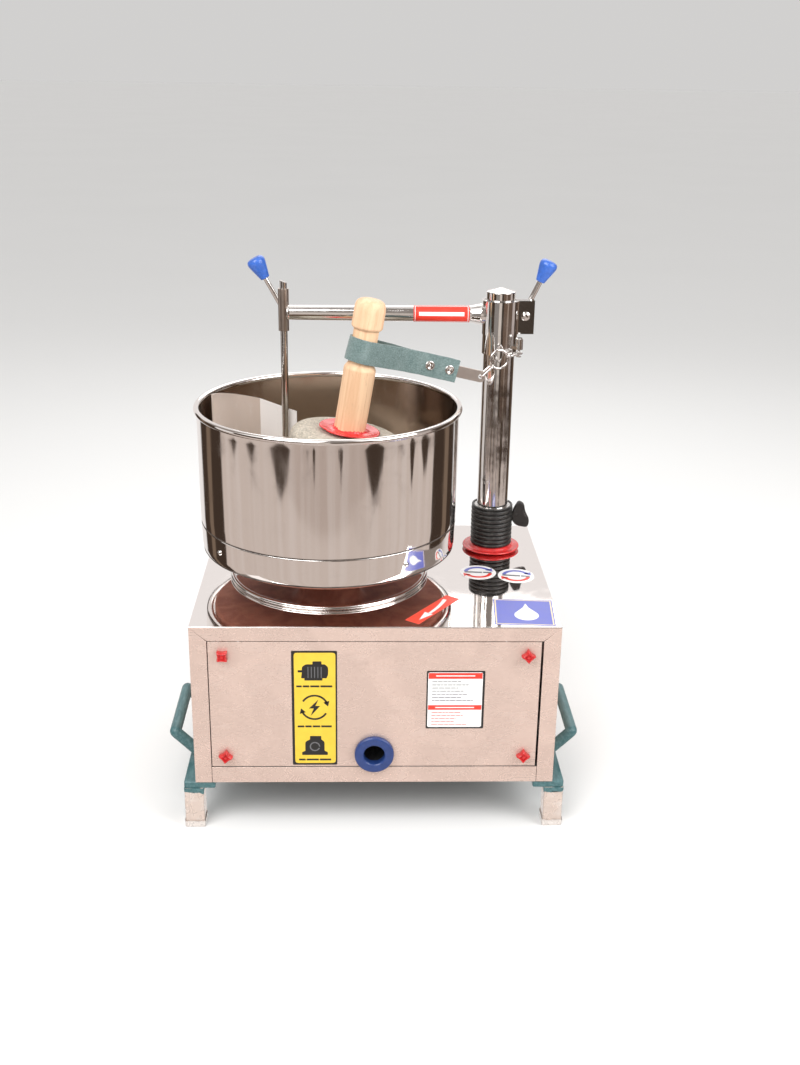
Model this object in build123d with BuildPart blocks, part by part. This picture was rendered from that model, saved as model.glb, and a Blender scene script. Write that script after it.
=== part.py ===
from build123d import *
import math
import os

# Tabletop wet grinder. Units are millimetres, +Z is up, the front faces -Y, and the origin is on
# the floor under the middle of the cabinet.

# ---- cabinet ----
BOX_W = 450.0
BOX_D = 351.0
BOX_LOW = 65.0
BOX_TOP = 280.0
SHEET = 1.2
FRAME_TOP_H = 19.0
FRAME_LOW_H = 22.0
FRAME_SIDE_W = 21.0
SEAM = 0.4
PANEL_GAP = 1.0
PANEL_SET_BACK = 0.6
FRONT_Y = BOX_D / 2
PANEL_Y = FRONT_Y - PANEL_SET_BACK

# ---- base ----
RAIL_OUT = 240.0
RAIL_W = 40.0
RAIL_H = 9.0
RAIL_LOW = BOX_LOW - RAIL_H
LEG = 25.0
LEG_WALL = 2.0
CAP_WALL = 1.0
CAP_FLOOR = 4.0
CAP_H = 10.0
CROSS_H = 9.0
CROSS_W = 34.0
CROSS_X = 222.0
CROSS_Y = 120.0
PLATE_LOW = BOX_LOW + CROSS_H
PLATE_H = 6.0
PLATE_TOP = PLATE_LOW + PLATE_H
PLATE_W = 430.0
PLATE_D = 310.0
PLATE_HOLE_R = 20.0

# ---- side handles ----
GRIP_X = 256.5
GRIP_Z = 103.0
GRIP_R = 7.5
GRIP_NEAR = -114.0
GRIP_FAR = 6.0

# ---- knob screws and cable grommet ----
KNOB_X = 185.5
KNOB_TOP_Z = 242.5
KNOB_LOW_Z = 104.0
KNOB_POINT_R = 9.6
KNOB_WAIST_R = 6.4
KNOB_H = 9.0
KNOB_SHANK_R = 2.8
KNOB_SHANK = 12.0
KNOB_BEVEL = 3.0
KNOB_BACK_SCALE = 0.94
KNOB_FACE_SCALE = 0.7
KNOB_TURNS = (0, 47, 38, 44)
GROMMET_X = -1.0
GROMMET_Z = 106.5
GROMMET_R = 24.5
GROMMET_BORE = 13.0
GROMMET_SPIGOT = 15.0
GROMMET_T = 6.0
GROMMET_DEPTH = 5.0

# ---- stickers: middle, size and turn ----
STICKER_T = 0.3
TALL_STICKER = (-74.8, 169.2, 55.5, 158.0)
CARD_STICKER = (98.3, 181.4, 71.5, 79.6)
ARROW_STICKER = (71.0, -123.0, 54.0, 93.0, 20.0)
PLATE_STICKER = (183.3, -131.5, -4.0, 74.0, 76.0)
ROUND_STICKERS = ((137.5, -3.5), (187.0, -15.0))
ROUND_STICKER_R = 24.0
ARM_STICKER = (49.0, 122.0)
ARM_STICKER_START = 10.0
ARM_STICKER_ARC = 140.0

# ---- drum and drive ----
DRUM_X = -60.0
DRUM_Y = 0.0
DRUM_LOW = 324.0
DRUM_SEAM = 362.0
DRUM_TOP = 511.0
DRUM_LOW_R = 163.7
DRUM_RIM_R = 169.5
RIM_BEAD = 3.8
DRUM_WALL = 1.4
RIVET_START = 216.0
RIVET_Z = 344.0
PAN_FLOOR = 2.0
RIVET_R = 3.4
RIVET_H = 2.0
TABLE_R = 152.0
TABLE_HUB_R = 40.0
TABLE_HUB_LOW = 286.0
TABLE_HUB_TOP = 308.0
TABLE_LOW = 316.0
TABLE_TOP = 326.0
TABLE_FLARE = 8.0
RING_R = 127.0
RING_WIRE = 3.2
SHAFT_R = 14.0
SHAFT_LOW = 92.0
RUNNING = 0.05
WHEEL_R = 45.0
WHEEL_TEETH = 30
WHEEL_Z = 140.0
WHEEL_T = 24.0
WORM_R = 14.0
WORM_SHAFT_R = 8.0
TOOTH_W = 4.4
TOOTH_DEPTH = 4.0
MESH_GAP = 0.4
WORM_X = DRUM_X + WHEEL_R + WORM_R + MESH_GAP
WORM_HALF = 30.0
WORM_PITCH = 9.0
WORM_TURNS = 6
WORM_DEPTH = 4.0
WORM_Z = WHEEL_Z + WHEEL_T / 2
BEARING_R = 26.0
SMALL_BEARING_R = 16.0
CASE_WALL = 8.0
CASE_LOW = PLATE_TOP
CASE_HIGH = 180.0
CASE_X0 = DRUM_X - 56.0
CASE_X1 = WORM_X + 25.0
CASE_Y = 56.0
LID_T = 16.0
CASE_EDGE = 10.0
CASE_FLOOR = 20.0
SEAT_Z = CASE_LOW + 6.0
SEAT_T = 14.0
LID_BOLT_R = 5.0
LID_BOLT_H = 5.0
LID_BOLT_INSET = 10.0
MOTOR_X = 95.0
MOTOR_Z = 140.0
MOTOR_R = 56.0
MOTOR_Y0 = -90.0
MOTOR_Y1 = 50.0
MOTOR_FINS = 28
FIN_DEPTH = 5.0
FIN_W = 2.4
FOOT_L = 100.0
FOOT_W = 22.0
FOOT_H = 24.0
FOOT_INSET = 30.0
MOTOR_END = 12.0
ROTOR_END = 22.0
ROTOR_GAP = 0.6
CAPACITOR_X = -160.0
CAPACITOR_Y = -110.0
CAPACITOR_R = 20.0
CAPACITOR_TOP = 150.0
TERMINAL_R = 6.0
TERMINAL_H = 6.0
STATOR_BORE = 38.5
PULLEY_Y = 98.0
PULLEY_W = 16.0
SHAFT_END_Y = PULLEY_Y + 14.0
GROOVE_W = 10.0
BELT_W = 9.0
BELT_T = 6.0
BELT_GAP = 0.3
BIG_GROOVE_R = 26.0
SMALL_GROOVE_R = 20.0
PULLEY_LIP = 8.0

# ---- bed stone and roller ----
BED_LOW = 330.0
BED_TOP = 396.0
BED_R = 157.0
BED_CHAMFER = 8.0
BOWL_Z = 424.0
BOWL_R = 87.3
ROLLER_TOP = (-34.0, 0.0, 472.0)
ROLLER_LEAN = 9.3
STONE_R = 75.0
STONE_BALL_R = 66.0
STONE_BALL_T = -62.0
STONE_EDGE = 15.0
SPIGOT_R = 12.0
SPIGOT_T = -30.0
HANDLE_R = 20.3
NECK_R = 16.0
HANDLE_CAP_R = 19.8
SHOULDER_T = 85.0
NECK_T = 91.0
CAP_T = 135.0
HANDLE_TOP_T = 172.0
COLLAR_R = 40.5
COLLAR_FLAT_R = 26.0
COLLAR_RISE = 4.5
COLLAR_TOP = 6.5
COLLAR_T = 2.6

# ---- strap and chain ----
STRAP_T = 107.4
STRAP_TURN = 16.0
STRAP_DROP = 15.2
STRAP_W = 30.0
STRAP_LAYER = 2.4
STRAP_LOOP_R = 18.2
STRAP_END = 130.6
STRAP_JOIN = 60.0
RIVET_AT = (91.2, 118.8)
STRAP_RIVET_R = 2.4
STRAP_HEAD_R = 5.6
STRAP_HEAD_T = 1.6
TONGUE_START = 84.0
TONGUE_END = 170.0
TONGUE_W = 15.0
TONGUE_T = 2.0
TONGUE_HOLE = 164.0
TONGUE_HOLE_R = 3.2
TONGUE_EDGE = 3.0
WIRE = 2.6
LINK_W = 8.6
RING_AT = (159.9, 50.7, 556.0)
BIG_RING_R = 12.0
RING_LOW_TURN = 39.0
RING_HIGH_TURN = 20.0

# ---- post, arm and scraper ----
POST_X = 163.0
POST_Y = 90.0
POST_R = 21.0
POST_WALL = 2.0
POST_TOP = 626.0
POST_EDGE = 1.2
PLUG_H = 12.0
POST_CAP_R = 19.3
POST_CAP_EDGE = 637.5
POST_CAP_TOP = 642.0
SOCKET_R = 24.5
SOCKET_TOP = 344.0
SOCKET_FOOT_R = 43.0
SOCKET_FOOT_H = 6.0
BOOT_R = 28.5
BOOT_LOW = 288.0
BOOT_TOP = 345.0
BOOT_RIBS = 9
RIB_DEPTH = 2.2
FLANGE_R = 39.5
FLANGE_FLAT_R = 30.0
WING_Z = 329.0
WING_T = 9.0
WING_LOBES = ((200.0, 13.0, 7.0), (209.0, -12.0, 7.0), (196.0, -11.0, 4.0), (196.0, 8.0, 4.0))
WING_SHANK_R = 4.0
WING_SHANK = 14.0
STOP_R = 23.6
STOP_LOW = 556.7
STOP_TOP = 582.2
LUG_REACH = 33.5
LUG_TURN = -45.0
LUG_Z = 561.0
LUG_R = 5.0
LUG_LOW = 566.0
LUG_TAB_TOP = 570.0
LUG_TOP = 581.0
LUG_PIN_R = 1.6
LUG_PIN_LOW = 557.5
LUG_HEAD_R = 3.2
LUG_HEAD_LOW = 555.0
CLAMP_R = 24.3
CLAMP_LOW = 582.5
CLAMP_TOP = 626.0
EAR_X = 207.0
EAR_T = 5.0
EAR_SLOT = 3.0
BOLT_X = 195.5
BOLT_Z = 606.0
BOLT_R = 4.0
BOLT_HEAD_R = 6.0
BOLT_HEAD_T = 4.0
BOLT_TAIL = 7.0
ARM_Z = 607.0
ARM_R_POST = 11.0
ARM_R_ROD = 9.6
ARM_FLARE = 3.2
ARM_FLARE_X0 = 125.0
ARM_FLARE_X1 = 137.0
ARM_END_X = 145.0
ARM_TAPER = 15.0
ROD_X = -120.0
ROD_R = 4.75
ROD_LOW = 440.0
ROD_TOP = 649.0
ROD_SLANT = 0.35
SLEEVE_R = 7.0
SLEEVE_LOW = 583.5
SLEEVE_TOP = 638.0
LOCK_Z = 606.0
LOCK_SCREW_R = 3.0
LOCK_HUB_R = 6.0
LOCK_STEM_R = 3.2
CLAMP_HUB_R = 6.8
CLAMP_STEM_R = 3.6
CLAMP_STEM = 47.0
LOCK_STEM = 50.0
LEVER_KNOB = 29.0
KNOB_GRIP = 1.0
KNOB_NECK_R = 5.2
KNOB_END_R = 12.2
CLAMP_LEVER_TILT = 25.0
LOCK_LEVER_TILT = -29.0
BLADE_T = 1.5
BLADE_LOW = 402.0
BLADE_FOLD = (-155.0, 108.0)
BLADE_MIDDLE = (154.6, 147.0)
BLADE_END = (157.4, 164.5)
BLADE_PAST_ROD = 14.0
BLADE_TOP = 474.0
BLADE_SLOPE = (0.29, 0.086, 1)

BIG = 400.0


# ---- planes and axes ----
def spin_plane(x, y):
    """Upright plane: local X is the radius from the vertical axis at (x, y), local Y is the height."""
    return Plane(origin=(x, y, 0), x_dir=(1, 0, 0), z_dir=(0, -1, 0))


def lean_plane(along):
    """Upright plane at a point of the roller axis: local Y runs up that axis."""
    lean = math.radians(ROLLER_LEAN)
    x, y, z = ROLLER_TOP
    origin = (x + along * math.sin(lean), y, z + along * math.cos(lean))
    return Plane(origin=origin, x_dir=(math.cos(lean), 0, -math.sin(lean)), z_dir=(0, -1, 0))


def strap_plane():
    """Plane of the strap's edge: local X runs to the post and local Z across the strap's width."""
    turn = math.radians(STRAP_TURN)
    drop = math.radians(STRAP_DROP)
    along = (math.cos(turn) * math.cos(drop), math.sin(turn) * math.cos(drop), -math.sin(drop))
    across = (math.cos(turn) * math.sin(drop), math.sin(turn) * math.sin(drop), math.cos(drop))
    return Plane(origin=lean_plane(STRAP_T).origin, x_dir=along, z_dir=across)


def turned(plane, outline):
    """Solid of revolution about the plane's local Y axis, from (radius, height) points."""
    with BuildPart() as piece:
        with BuildSketch(plane):
            with BuildLine():
                Polyline(*outline, close=True)
            make_face()
        revolve(axis=Axis(plane.origin, plane.y_dir))
    return piece.part


def block(x0, x1, y0, y1, z0, z1, edge=0.0):
    """Box between two corners, its upright edges rounded by edge."""
    with BuildPart() as piece:
        with BuildSketch(Plane.XY.offset(z0)):
            with Locations(((x0 + x1) / 2, (y0 + y1) / 2)):
                Rectangle(x1 - x0, y1 - y0)
        extrude(amount=z1 - z0)
        if edge:
            fillet(piece.edges().filter_by(Axis.Z), edge)
    return piece.part


def rod(start, end, r0, r1=None):
    """Round bar or cone from one point to another."""
    r1 = r0 if r1 is None else r1
    direction = Vector(*end) - Vector(*start)
    with BuildPart() as piece:
        with BuildSketch(Plane(origin=start, z_dir=direction)):
            Circle(r0)
        with BuildSketch(Plane(origin=end, z_dir=direction)):
            Circle(r1)
        loft()
    return piece.part


def group(solids):
    """One node made of separate solids."""
    return Compound(children=list(solids))


# ---- base ----
def make_side_rails():
    rails = []
    for side in (-1, 1):
        inner = side * (RAIL_OUT - RAIL_W)
        outer = side * RAIL_OUT
        rails.append(block(min(inner, outer), max(inner, outer), -FRONT_Y + 1, FRONT_Y - 1,
                           RAIL_LOW, BOX_LOW, edge=2))
    return group(rails)


def make_cross_members():
    bars = []
    for y in (-CROSS_Y, CROSS_Y):
        bars.append(block(-CROSS_X, CROSS_X, y - CROSS_W / 2, y + CROSS_W / 2, BOX_LOW, PLATE_LOW))
    return group(bars)


def leg_centres():
    half = LEG / 2
    x = RAIL_OUT - half
    y = FRONT_Y - half
    return [(-x, -y), (x, -y), (-x, y), (x, y)]


def make_legs():
    with BuildPart() as legs:
        with BuildSketch(Plane.XY.offset(CAP_FLOOR)):
            with Locations(*leg_centres()):
                Rectangle(LEG, LEG)
                Rectangle(LEG - 2 * LEG_WALL, LEG - 2 * LEG_WALL, mode=Mode.SUBTRACT)
        extrude(amount=RAIL_LOW - CAP_FLOOR)
    return legs.part


def make_leg_caps():
    outer = LEG + 2 * CAP_WALL
    with BuildPart() as leg_caps:
        with BuildSketch():
            with Locations(*leg_centres()):
                RectangleRounded(outer, outer, 2)
        extrude(amount=CAP_H)
        with BuildSketch(Plane.XY.offset(CAP_FLOOR)):
            with Locations(*leg_centres()):
                Rectangle(LEG, LEG)
        extrude(amount=CAP_H, mode=Mode.SUBTRACT)
    return leg_caps.part


def make_mount_plate():
    with BuildPart() as mount_plate:
        with BuildSketch(Plane.XY.offset(PLATE_LOW)):
            Rectangle(PLATE_W, PLATE_D)
            with Locations((DRUM_X, DRUM_Y)):
                Circle(PLATE_HOLE_R, mode=Mode.SUBTRACT)
        extrude(amount=PLATE_H)
    return mount_plate.part


def make_side_handles():
    handles = []
    for side in (-1, 1):
        run = GRIP_Z - BOX_LOW + 10
        points = [(side * (GRIP_X - run), GRIP_NEAR, GRIP_Z - run), (side * GRIP_X, GRIP_NEAR, GRIP_Z),
                  (side * GRIP_X, GRIP_FAR, GRIP_Z), (side * (GRIP_X - run), GRIP_FAR, GRIP_Z - run)]
        with BuildPart() as handle:
            with BuildLine() as path:
                FilletPolyline(*points, radius=GRIP_R + 1)
            with BuildSketch(Plane(origin=path.line @ 0, z_dir=path.line % 0)):
                Circle(GRIP_R)
            sweep()
            with BuildSketch(Plane.XY.offset(BOX_LOW - BIG)):
                Rectangle(2 * BIG, 2 * BIG)
            extrude(amount=BIG, mode=Mode.SUBTRACT)
            with BuildSketch(Plane.XY.offset(BOX_LOW)):
                Rectangle(BOX_W, BOX_D)
            extrude(amount=BOX_TOP, mode=Mode.SUBTRACT)
        handles.append(handle.part)
    return group(handles)


# ---- cabinet ----
def make_side_panels():
    depth = FRONT_Y - SHEET
    panels = []
    for x0 in (-BOX_W / 2, BOX_W / 2 - SHEET):
        panels.append(block(x0, x0 + SHEET, -depth, depth, BOX_LOW, BOX_TOP - SHEET))
    return group(panels)


def make_top_plate():
    with BuildPart() as top_plate:
        with BuildSketch(Plane.XY.offset(BOX_TOP - SHEET)):
            Rectangle(BOX_W, BOX_D)
            with Locations((DRUM_X, DRUM_Y)):
                Circle(TABLE_HUB_R + 5, mode=Mode.SUBTRACT)
            with Locations((POST_X, POST_Y)):
                Circle(SOCKET_R + 0.5, mode=Mode.SUBTRACT)
        extrude(amount=SHEET)
        front_and_back = top_plate.faces().sort_by(Axis.Z)[-1].outer_wire().edges()
        fillet(front_and_back, 0.8)
    return top_plate.part


def frame_strips(outer_y):
    """Four mitred strips round a panel opening, their outer faces at outer_y."""
    left = BOX_W / 2
    high = BOX_TOP - SHEET
    in_x = left - FRAME_SIDE_W
    in_top = BOX_TOP - FRAME_TOP_H
    in_low = BOX_LOW + FRAME_LOW_H
    outline = [
        [(-left, high), (left, high), (in_x, in_top), (-in_x, in_top)],
        [(-left, BOX_LOW), (left, BOX_LOW), (in_x, in_low), (-in_x, in_low)],
        [(-left, BOX_LOW), (-in_x, in_low), (-in_x, in_top), (-left, high)],
        [(left, BOX_LOW), (in_x, in_low), (in_x, in_top), (left, high)],
    ]
    strips = []
    toward = -1 if outer_y > 0 else 1
    for corners in outline:
        with BuildPart() as strip:
            with BuildSketch(Plane(origin=(0, outer_y, 0), x_dir=(1, 0, 0), z_dir=(0, -1, 0))):
                with BuildLine():
                    Polyline(*corners, close=True)
                make_face()
                offset(amount=-SEAM / 2)
            extrude(amount=-toward * SHEET)
        strips.append(strip.part)
    return group(strips)


def make_panel(outer_y, with_grommet_hole):
    width = BOX_W - 2 * FRAME_SIDE_W - 2 * PANEL_GAP
    height = BOX_TOP - FRAME_TOP_H - BOX_LOW - FRAME_LOW_H - 2 * PANEL_GAP
    middle = (BOX_TOP - FRAME_TOP_H + BOX_LOW + FRAME_LOW_H) / 2
    toward = -1 if outer_y > 0 else 1
    with BuildPart() as panel:
        with BuildSketch(Plane(origin=(0, outer_y, 0), x_dir=(1, 0, 0), z_dir=(0, -1, 0))):
            with Locations((0, middle)):
                RectangleRounded(width, height, 1.5)
            with Locations(*knob_places()):
                Circle(KNOB_SHANK_R + 0.2, mode=Mode.SUBTRACT)
            if with_grommet_hole:
                with Locations((GROMMET_X, GROMMET_Z)):
                    Circle(GROMMET_SPIGOT, mode=Mode.SUBTRACT)
        extrude(amount=-toward * SHEET)
    return panel.part


def knob_places():
    return [(-KNOB_X, KNOB_TOP_Z), (KNOB_X, KNOB_TOP_Z), (-KNOB_X, KNOB_LOW_Z), (KNOB_X, KNOB_LOW_Z)]


def star_outline(scale, turn):
    """Corners of a four-pointed star, points and waists in turn."""
    points = []
    for step in range(8):
        angle = math.radians(turn + 45 + 45 * step)
        radius = scale * (KNOB_POINT_R if step % 2 == 0 else KNOB_WAIST_R)
        points.append((radius * math.cos(angle), radius * math.sin(angle)))
    return points


def star_knob(x, z, face_y, turn):
    """Four-pointed star head with a bevelled face, and its screw shank behind."""
    out = -1 if face_y < 0 else 1
    plane = Plane(origin=(x, face_y, z), x_dir=(-out, 0, 0), z_dir=(0, out, 0))
    with BuildPart() as knob:
        layers = ((0, KNOB_BACK_SCALE), (KNOB_H - KNOB_BEVEL, 1.0), (KNOB_H, KNOB_FACE_SCALE))
        for depth, scale in layers:
            with BuildSketch(plane.offset(depth)):
                with BuildLine():
                    Polyline(*star_outline(scale, turn), close=True)
                make_face()
        loft(ruled=True)
        with BuildSketch(plane):
            Circle(KNOB_SHANK_R)
        extrude(amount=-KNOB_SHANK)
    return knob.part


def make_panel_knobs():
    knobs = []
    for face_y in (-PANEL_Y, PANEL_Y):
        for (x, z), turn in zip(knob_places(), KNOB_TURNS):
            knobs.append(star_knob(x, z, face_y, turn))
    return group(knobs)


def make_cable_grommet():
    """Thick rounded washer on the front face with a spigot through the panel."""
    face = GROMMET_T
    outline = [(GROMMET_BORE, -GROMMET_DEPTH), (GROMMET_SPIGOT, -GROMMET_DEPTH), (GROMMET_SPIGOT, 0),
               (GROMMET_R, 0),
               (GROMMET_R, face - 3), (GROMMET_R - 1, face - 1), (GROMMET_R - 3, face),
               (GROMMET_BORE + 2, face), (GROMMET_BORE, face - 2)]
    plane = Plane(origin=(GROMMET_X, -FRONT_Y, GROMMET_Z), x_dir=(1, 0, 0), z_dir=(0, 0, 1))
    return turned(plane, [(radius, -height) for radius, height in outline])


def make_guard_ring():
    with BuildPart() as guard_ring:
        with Locations((DRUM_X, DRUM_Y, BOX_TOP + RING_WIRE)):
            Torus(RING_R, RING_WIRE)
    return guard_ring.part


def sticker(plane, shape):
    with BuildPart() as piece:
        with BuildSketch(plane):
            add(shape)
        extrude(amount=STICKER_T)
    return piece.part


def make_labels():
    """Stickers: two on the front panel and four on the top plate."""
    def front(x, z):
        return Plane(origin=(x, -PANEL_Y, z), x_dir=(1, 0, 0), z_dir=(0, -1, 0))

    def top(x, y, turn):
        turned_x = (math.cos(math.radians(turn)), math.sin(math.radians(turn)), 0)
        return Plane(origin=(x, y, BOX_TOP), x_dir=turned_x, z_dir=(0, 0, 1))

    labels = []
    for x, z, width, height in (TALL_STICKER, CARD_STICKER):
        labels.append(sticker(front(x, z), RectangleRounded(width, height, 1, mode=Mode.PRIVATE)))
    for x, y, turn, width, height in (ARROW_STICKER, PLATE_STICKER):
        labels.append(sticker(top(x, y, turn), RectangleRounded(width, height, 1, mode=Mode.PRIVATE)))
    for x, y in ROUND_STICKERS:
        labels.append(sticker(top(x, y, 0), Circle(ROUND_STICKER_R, mode=Mode.PRIVATE)))
    return group(labels)


# ---- post ----
def make_post_socket():
    foot_top = PLATE_TOP + SOCKET_FOOT_H
    outline = [(POST_R + RUNNING, PLATE_TOP), (SOCKET_FOOT_R, PLATE_TOP), (SOCKET_FOOT_R, foot_top),
               (SOCKET_R, foot_top), (SOCKET_R, SOCKET_TOP), (POST_R + RUNNING, SOCKET_TOP)]
    socket = turned(spin_plane(POST_X, POST_Y), outline)
    with BuildPart() as post_socket:
        add(socket)
        with BuildSketch(Plane(origin=(POST_X, POST_Y, WING_Z), z_dir=(1, 0, 0))):
            Circle(WING_SHANK_R + 0.2)
        extrude(amount=SOCKET_R + 1, mode=Mode.SUBTRACT)
    return post_socket.part


def make_post_flange():
    """Thin dished collar, its outer lip standing a little above the top plate."""
    inner = SOCKET_R + 0.1
    outline = [(inner, BOX_TOP), (FLANGE_FLAT_R, BOX_TOP), (FLANGE_R, BOX_TOP + 3), (FLANGE_R, BOX_TOP + 5.5),
               (FLANGE_FLAT_R, BOX_TOP + 3.5), (inner + 3, BOOT_LOW), (inner, BOOT_LOW)]
    return turned(spin_plane(POST_X, POST_Y), outline)


def make_post_boot():
    """Ribbed rubber sleeve round the socket."""
    inner = SOCKET_R + 0.1
    pitch = (BOOT_TOP - BOOT_LOW - 3) / BOOT_RIBS
    valley = BOOT_R - RIB_DEPTH
    outline = [(inner, BOOT_LOW), (valley, BOOT_LOW)]
    for rib in range(BOOT_RIBS):
        low = BOOT_LOW + rib * pitch
        outline += [(BOOT_R, low + 0.3 * pitch), (BOOT_R, low + 0.7 * pitch), (valley, low + pitch)]
    outline += [(BOOT_R - 0.5, BOOT_TOP - 2), (BOOT_R - 1.2, BOOT_TOP), (inner, BOOT_TOP)]
    boot = turned(spin_plane(POST_X, POST_Y), outline)
    with BuildPart() as post_boot:
        add(boot)
        with BuildSketch(Plane(origin=(POST_X, POST_Y, WING_Z), z_dir=(1, 0, 0))):
            Circle(WING_SHANK_R + 0.4)
        extrude(amount=BOOT_R + 2, mode=Mode.SUBTRACT)
    return post_boot.part


def make_post_tube():
    bore = POST_R - POST_WALL
    outline = [(bore, PLATE_TOP), (POST_R, PLATE_TOP), (POST_R, POST_TOP - POST_EDGE),
               (POST_R - POST_EDGE, POST_TOP),
               (bore, POST_TOP)]
    return turned(spin_plane(POST_X, POST_Y), outline)


def make_post_cap():
    """Plug on the tube's end with a shallow cone top."""
    bore = POST_R - POST_WALL
    low = POST_TOP - PLUG_H
    outline = [(0, low), (bore, low), (bore, POST_TOP), (POST_CAP_R, POST_TOP),
               (POST_CAP_R, POST_CAP_EDGE - 1), (POST_CAP_R - 1, POST_CAP_EDGE), (3, POST_CAP_TOP),
               (0, POST_CAP_TOP)]
    return turned(spin_plane(POST_X, POST_Y), outline)


def lug_point():
    """Middle of the collar's chain pin."""
    turn = math.radians(LUG_TURN)
    return Vector(POST_X + LUG_REACH * math.cos(turn), POST_Y + LUG_REACH * math.sin(turn), LUG_Z)


def make_stop_collar():
    """Ring fixed on the post, with a lug at its front right and a headed pin below it for the chain."""
    lug_x, lug_y, _ = lug_point()
    with BuildPart() as stop_collar:
        with BuildSketch(Plane.XY.offset(STOP_LOW)):
            with Locations((POST_X, POST_Y)):
                Circle(STOP_R)
        extrude(amount=STOP_TOP - STOP_LOW)
        with BuildSketch(Plane.XY.offset(LUG_LOW)):
            with Locations(((POST_X + lug_x) / 2, (POST_Y + lug_y) / 2)):
                SlotCenterToCenter(LUG_REACH, 2 * LUG_R, rotation=LUG_TURN)
        extrude(amount=LUG_TAB_TOP - LUG_LOW)
        with BuildSketch(spin_plane(lug_x, lug_y)):
            with BuildLine():
                Polyline((0, LUG_HEAD_LOW), (LUG_HEAD_R, LUG_HEAD_LOW + 1), (LUG_HEAD_R, LUG_PIN_LOW),
                         (LUG_PIN_R, LUG_PIN_LOW), (LUG_PIN_R, LUG_LOW), (LUG_R, LUG_LOW),
                         (LUG_R, LUG_TOP - 1), (LUG_R - 1, LUG_TOP), (0, LUG_TOP), close=True)
            make_face()
        revolve(axis=Axis((lug_x, lug_y, 0), (0, 0, 1)))
        with BuildSketch(Plane.XY.offset(STOP_LOW)):
            with Locations((POST_X, POST_Y)):
                Circle(POST_R)
        extrude(amount=STOP_TOP - STOP_LOW, mode=Mode.SUBTRACT)
    return stop_collar.part


def make_wing_knob():
    """Clamping screw with a two-lobed plastic wing."""
    with BuildPart() as wing_knob:
        with BuildSketch(Plane(origin=(0, POST_Y + WING_T / 2, 0), x_dir=(1, 0, 0), z_dir=(0, -1, 0))):
            for x, rise, radius in WING_LOBES:
                with Locations((x, WING_Z + rise)):
                    Circle(radius)
            make_hull()
        extrude(amount=WING_T)
        fillet(wing_knob.edges().filter_by(GeomType.LINE, reverse=True), 1.5)
        with BuildSketch(Plane(origin=(POST_X + POST_R + 0.1, POST_Y, WING_Z), z_dir=(1, 0, 0))):
            Circle(WING_SHANK_R)
        extrude(amount=WING_SHANK)
    return wing_knob.part


# ---- arm ----
def make_arm_clamp():
    """Split collar round the post with two ears to the right."""
    slot = EAR_SLOT / 2
    with BuildPart() as arm_clamp:
        with BuildSketch(Plane.XY.offset(CLAMP_LOW)):
            with Locations((POST_X, POST_Y)):
                Circle(CLAMP_R)
            with Locations(((POST_X + EAR_X) / 2, POST_Y)):
                Rectangle(EAR_X - POST_X, EAR_SLOT + 2 * EAR_T)
                Rectangle(EAR_X - POST_X + 10, EAR_SLOT, mode=Mode.SUBTRACT)
            with Locations((POST_X, POST_Y)):
                Circle(POST_R + RUNNING, mode=Mode.SUBTRACT)
        extrude(amount=CLAMP_TOP - CLAMP_LOW)
        with BuildSketch(Plane(origin=(BOLT_X, POST_Y - EAR_T - slot - 1, BOLT_Z), z_dir=(0, 1, 0))):
            Circle(BOLT_R + RUNNING)
        extrude(amount=EAR_SLOT + 2 * EAR_T + 2, mode=Mode.SUBTRACT)
    return arm_clamp.part


def make_arm_tube():
    """Tapered tube with a flared weld at each end, cut to the collar and the sleeve."""
    x0 = ROD_X + 4
    end_r = SLEEVE_R - 0.4
    flare_r = ARM_R_POST + ARM_FLARE
    outline = [(0, x0), (end_r, x0), (end_r, x0 + 4), (ARM_R_ROD, x0 + ARM_TAPER),
               (ARM_R_POST, ARM_FLARE_X0), (flare_r, ARM_FLARE_X1), (flare_r, ARM_END_X), (0, ARM_END_X)]
    plane = Plane(origin=(0, POST_Y, ARM_Z), x_dir=(0, 0, 1), z_dir=(0, 1, 0))
    flipped = [(radius, x) for radius, x in outline]
    bar = turned(plane, flipped)
    with BuildPart() as arm_tube:
        add(bar)
        with BuildSketch(Plane.XY.offset(ARM_Z - 2 * flare_r)):
            with Locations((POST_X, POST_Y)):
                Circle(CLAMP_R)
            with Locations((ROD_X, POST_Y)):
                Circle(SLEEVE_R)
        extrude(amount=4 * flare_r, mode=Mode.SUBTRACT)
    return arm_tube.part


def arm_radius(x):
    """Radius of the plain tapered stretch of the arm at x."""
    low = ROD_X + 4 + ARM_TAPER
    return ARM_R_ROD + (ARM_R_POST - ARM_R_ROD) * (x - low) / (ARM_FLARE_X0 - low)


def make_arm_label():
    """Sticker wrapped round the front of the arm."""
    x0, x1 = ARM_STICKER
    outline = [(arm_radius(x0), x0), (arm_radius(x0) + STICKER_T, x0), (arm_radius(x1) + STICKER_T, x1),
               (arm_radius(x1), x1)]
    start = math.radians(ARM_STICKER_START)
    plane = Plane(origin=(0, POST_Y, ARM_Z), x_dir=(0, -math.sin(start), math.cos(start)),
                  z_dir=(0, math.cos(start), math.sin(start)))
    with BuildPart() as arm_label:
        with BuildSketch(plane):
            with BuildLine():
                Polyline(*outline, close=True)
            make_face()
        revolve(axis=Axis(plane.origin, plane.y_dir), revolution_arc=ARM_STICKER_ARC)
    return arm_label.part


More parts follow.
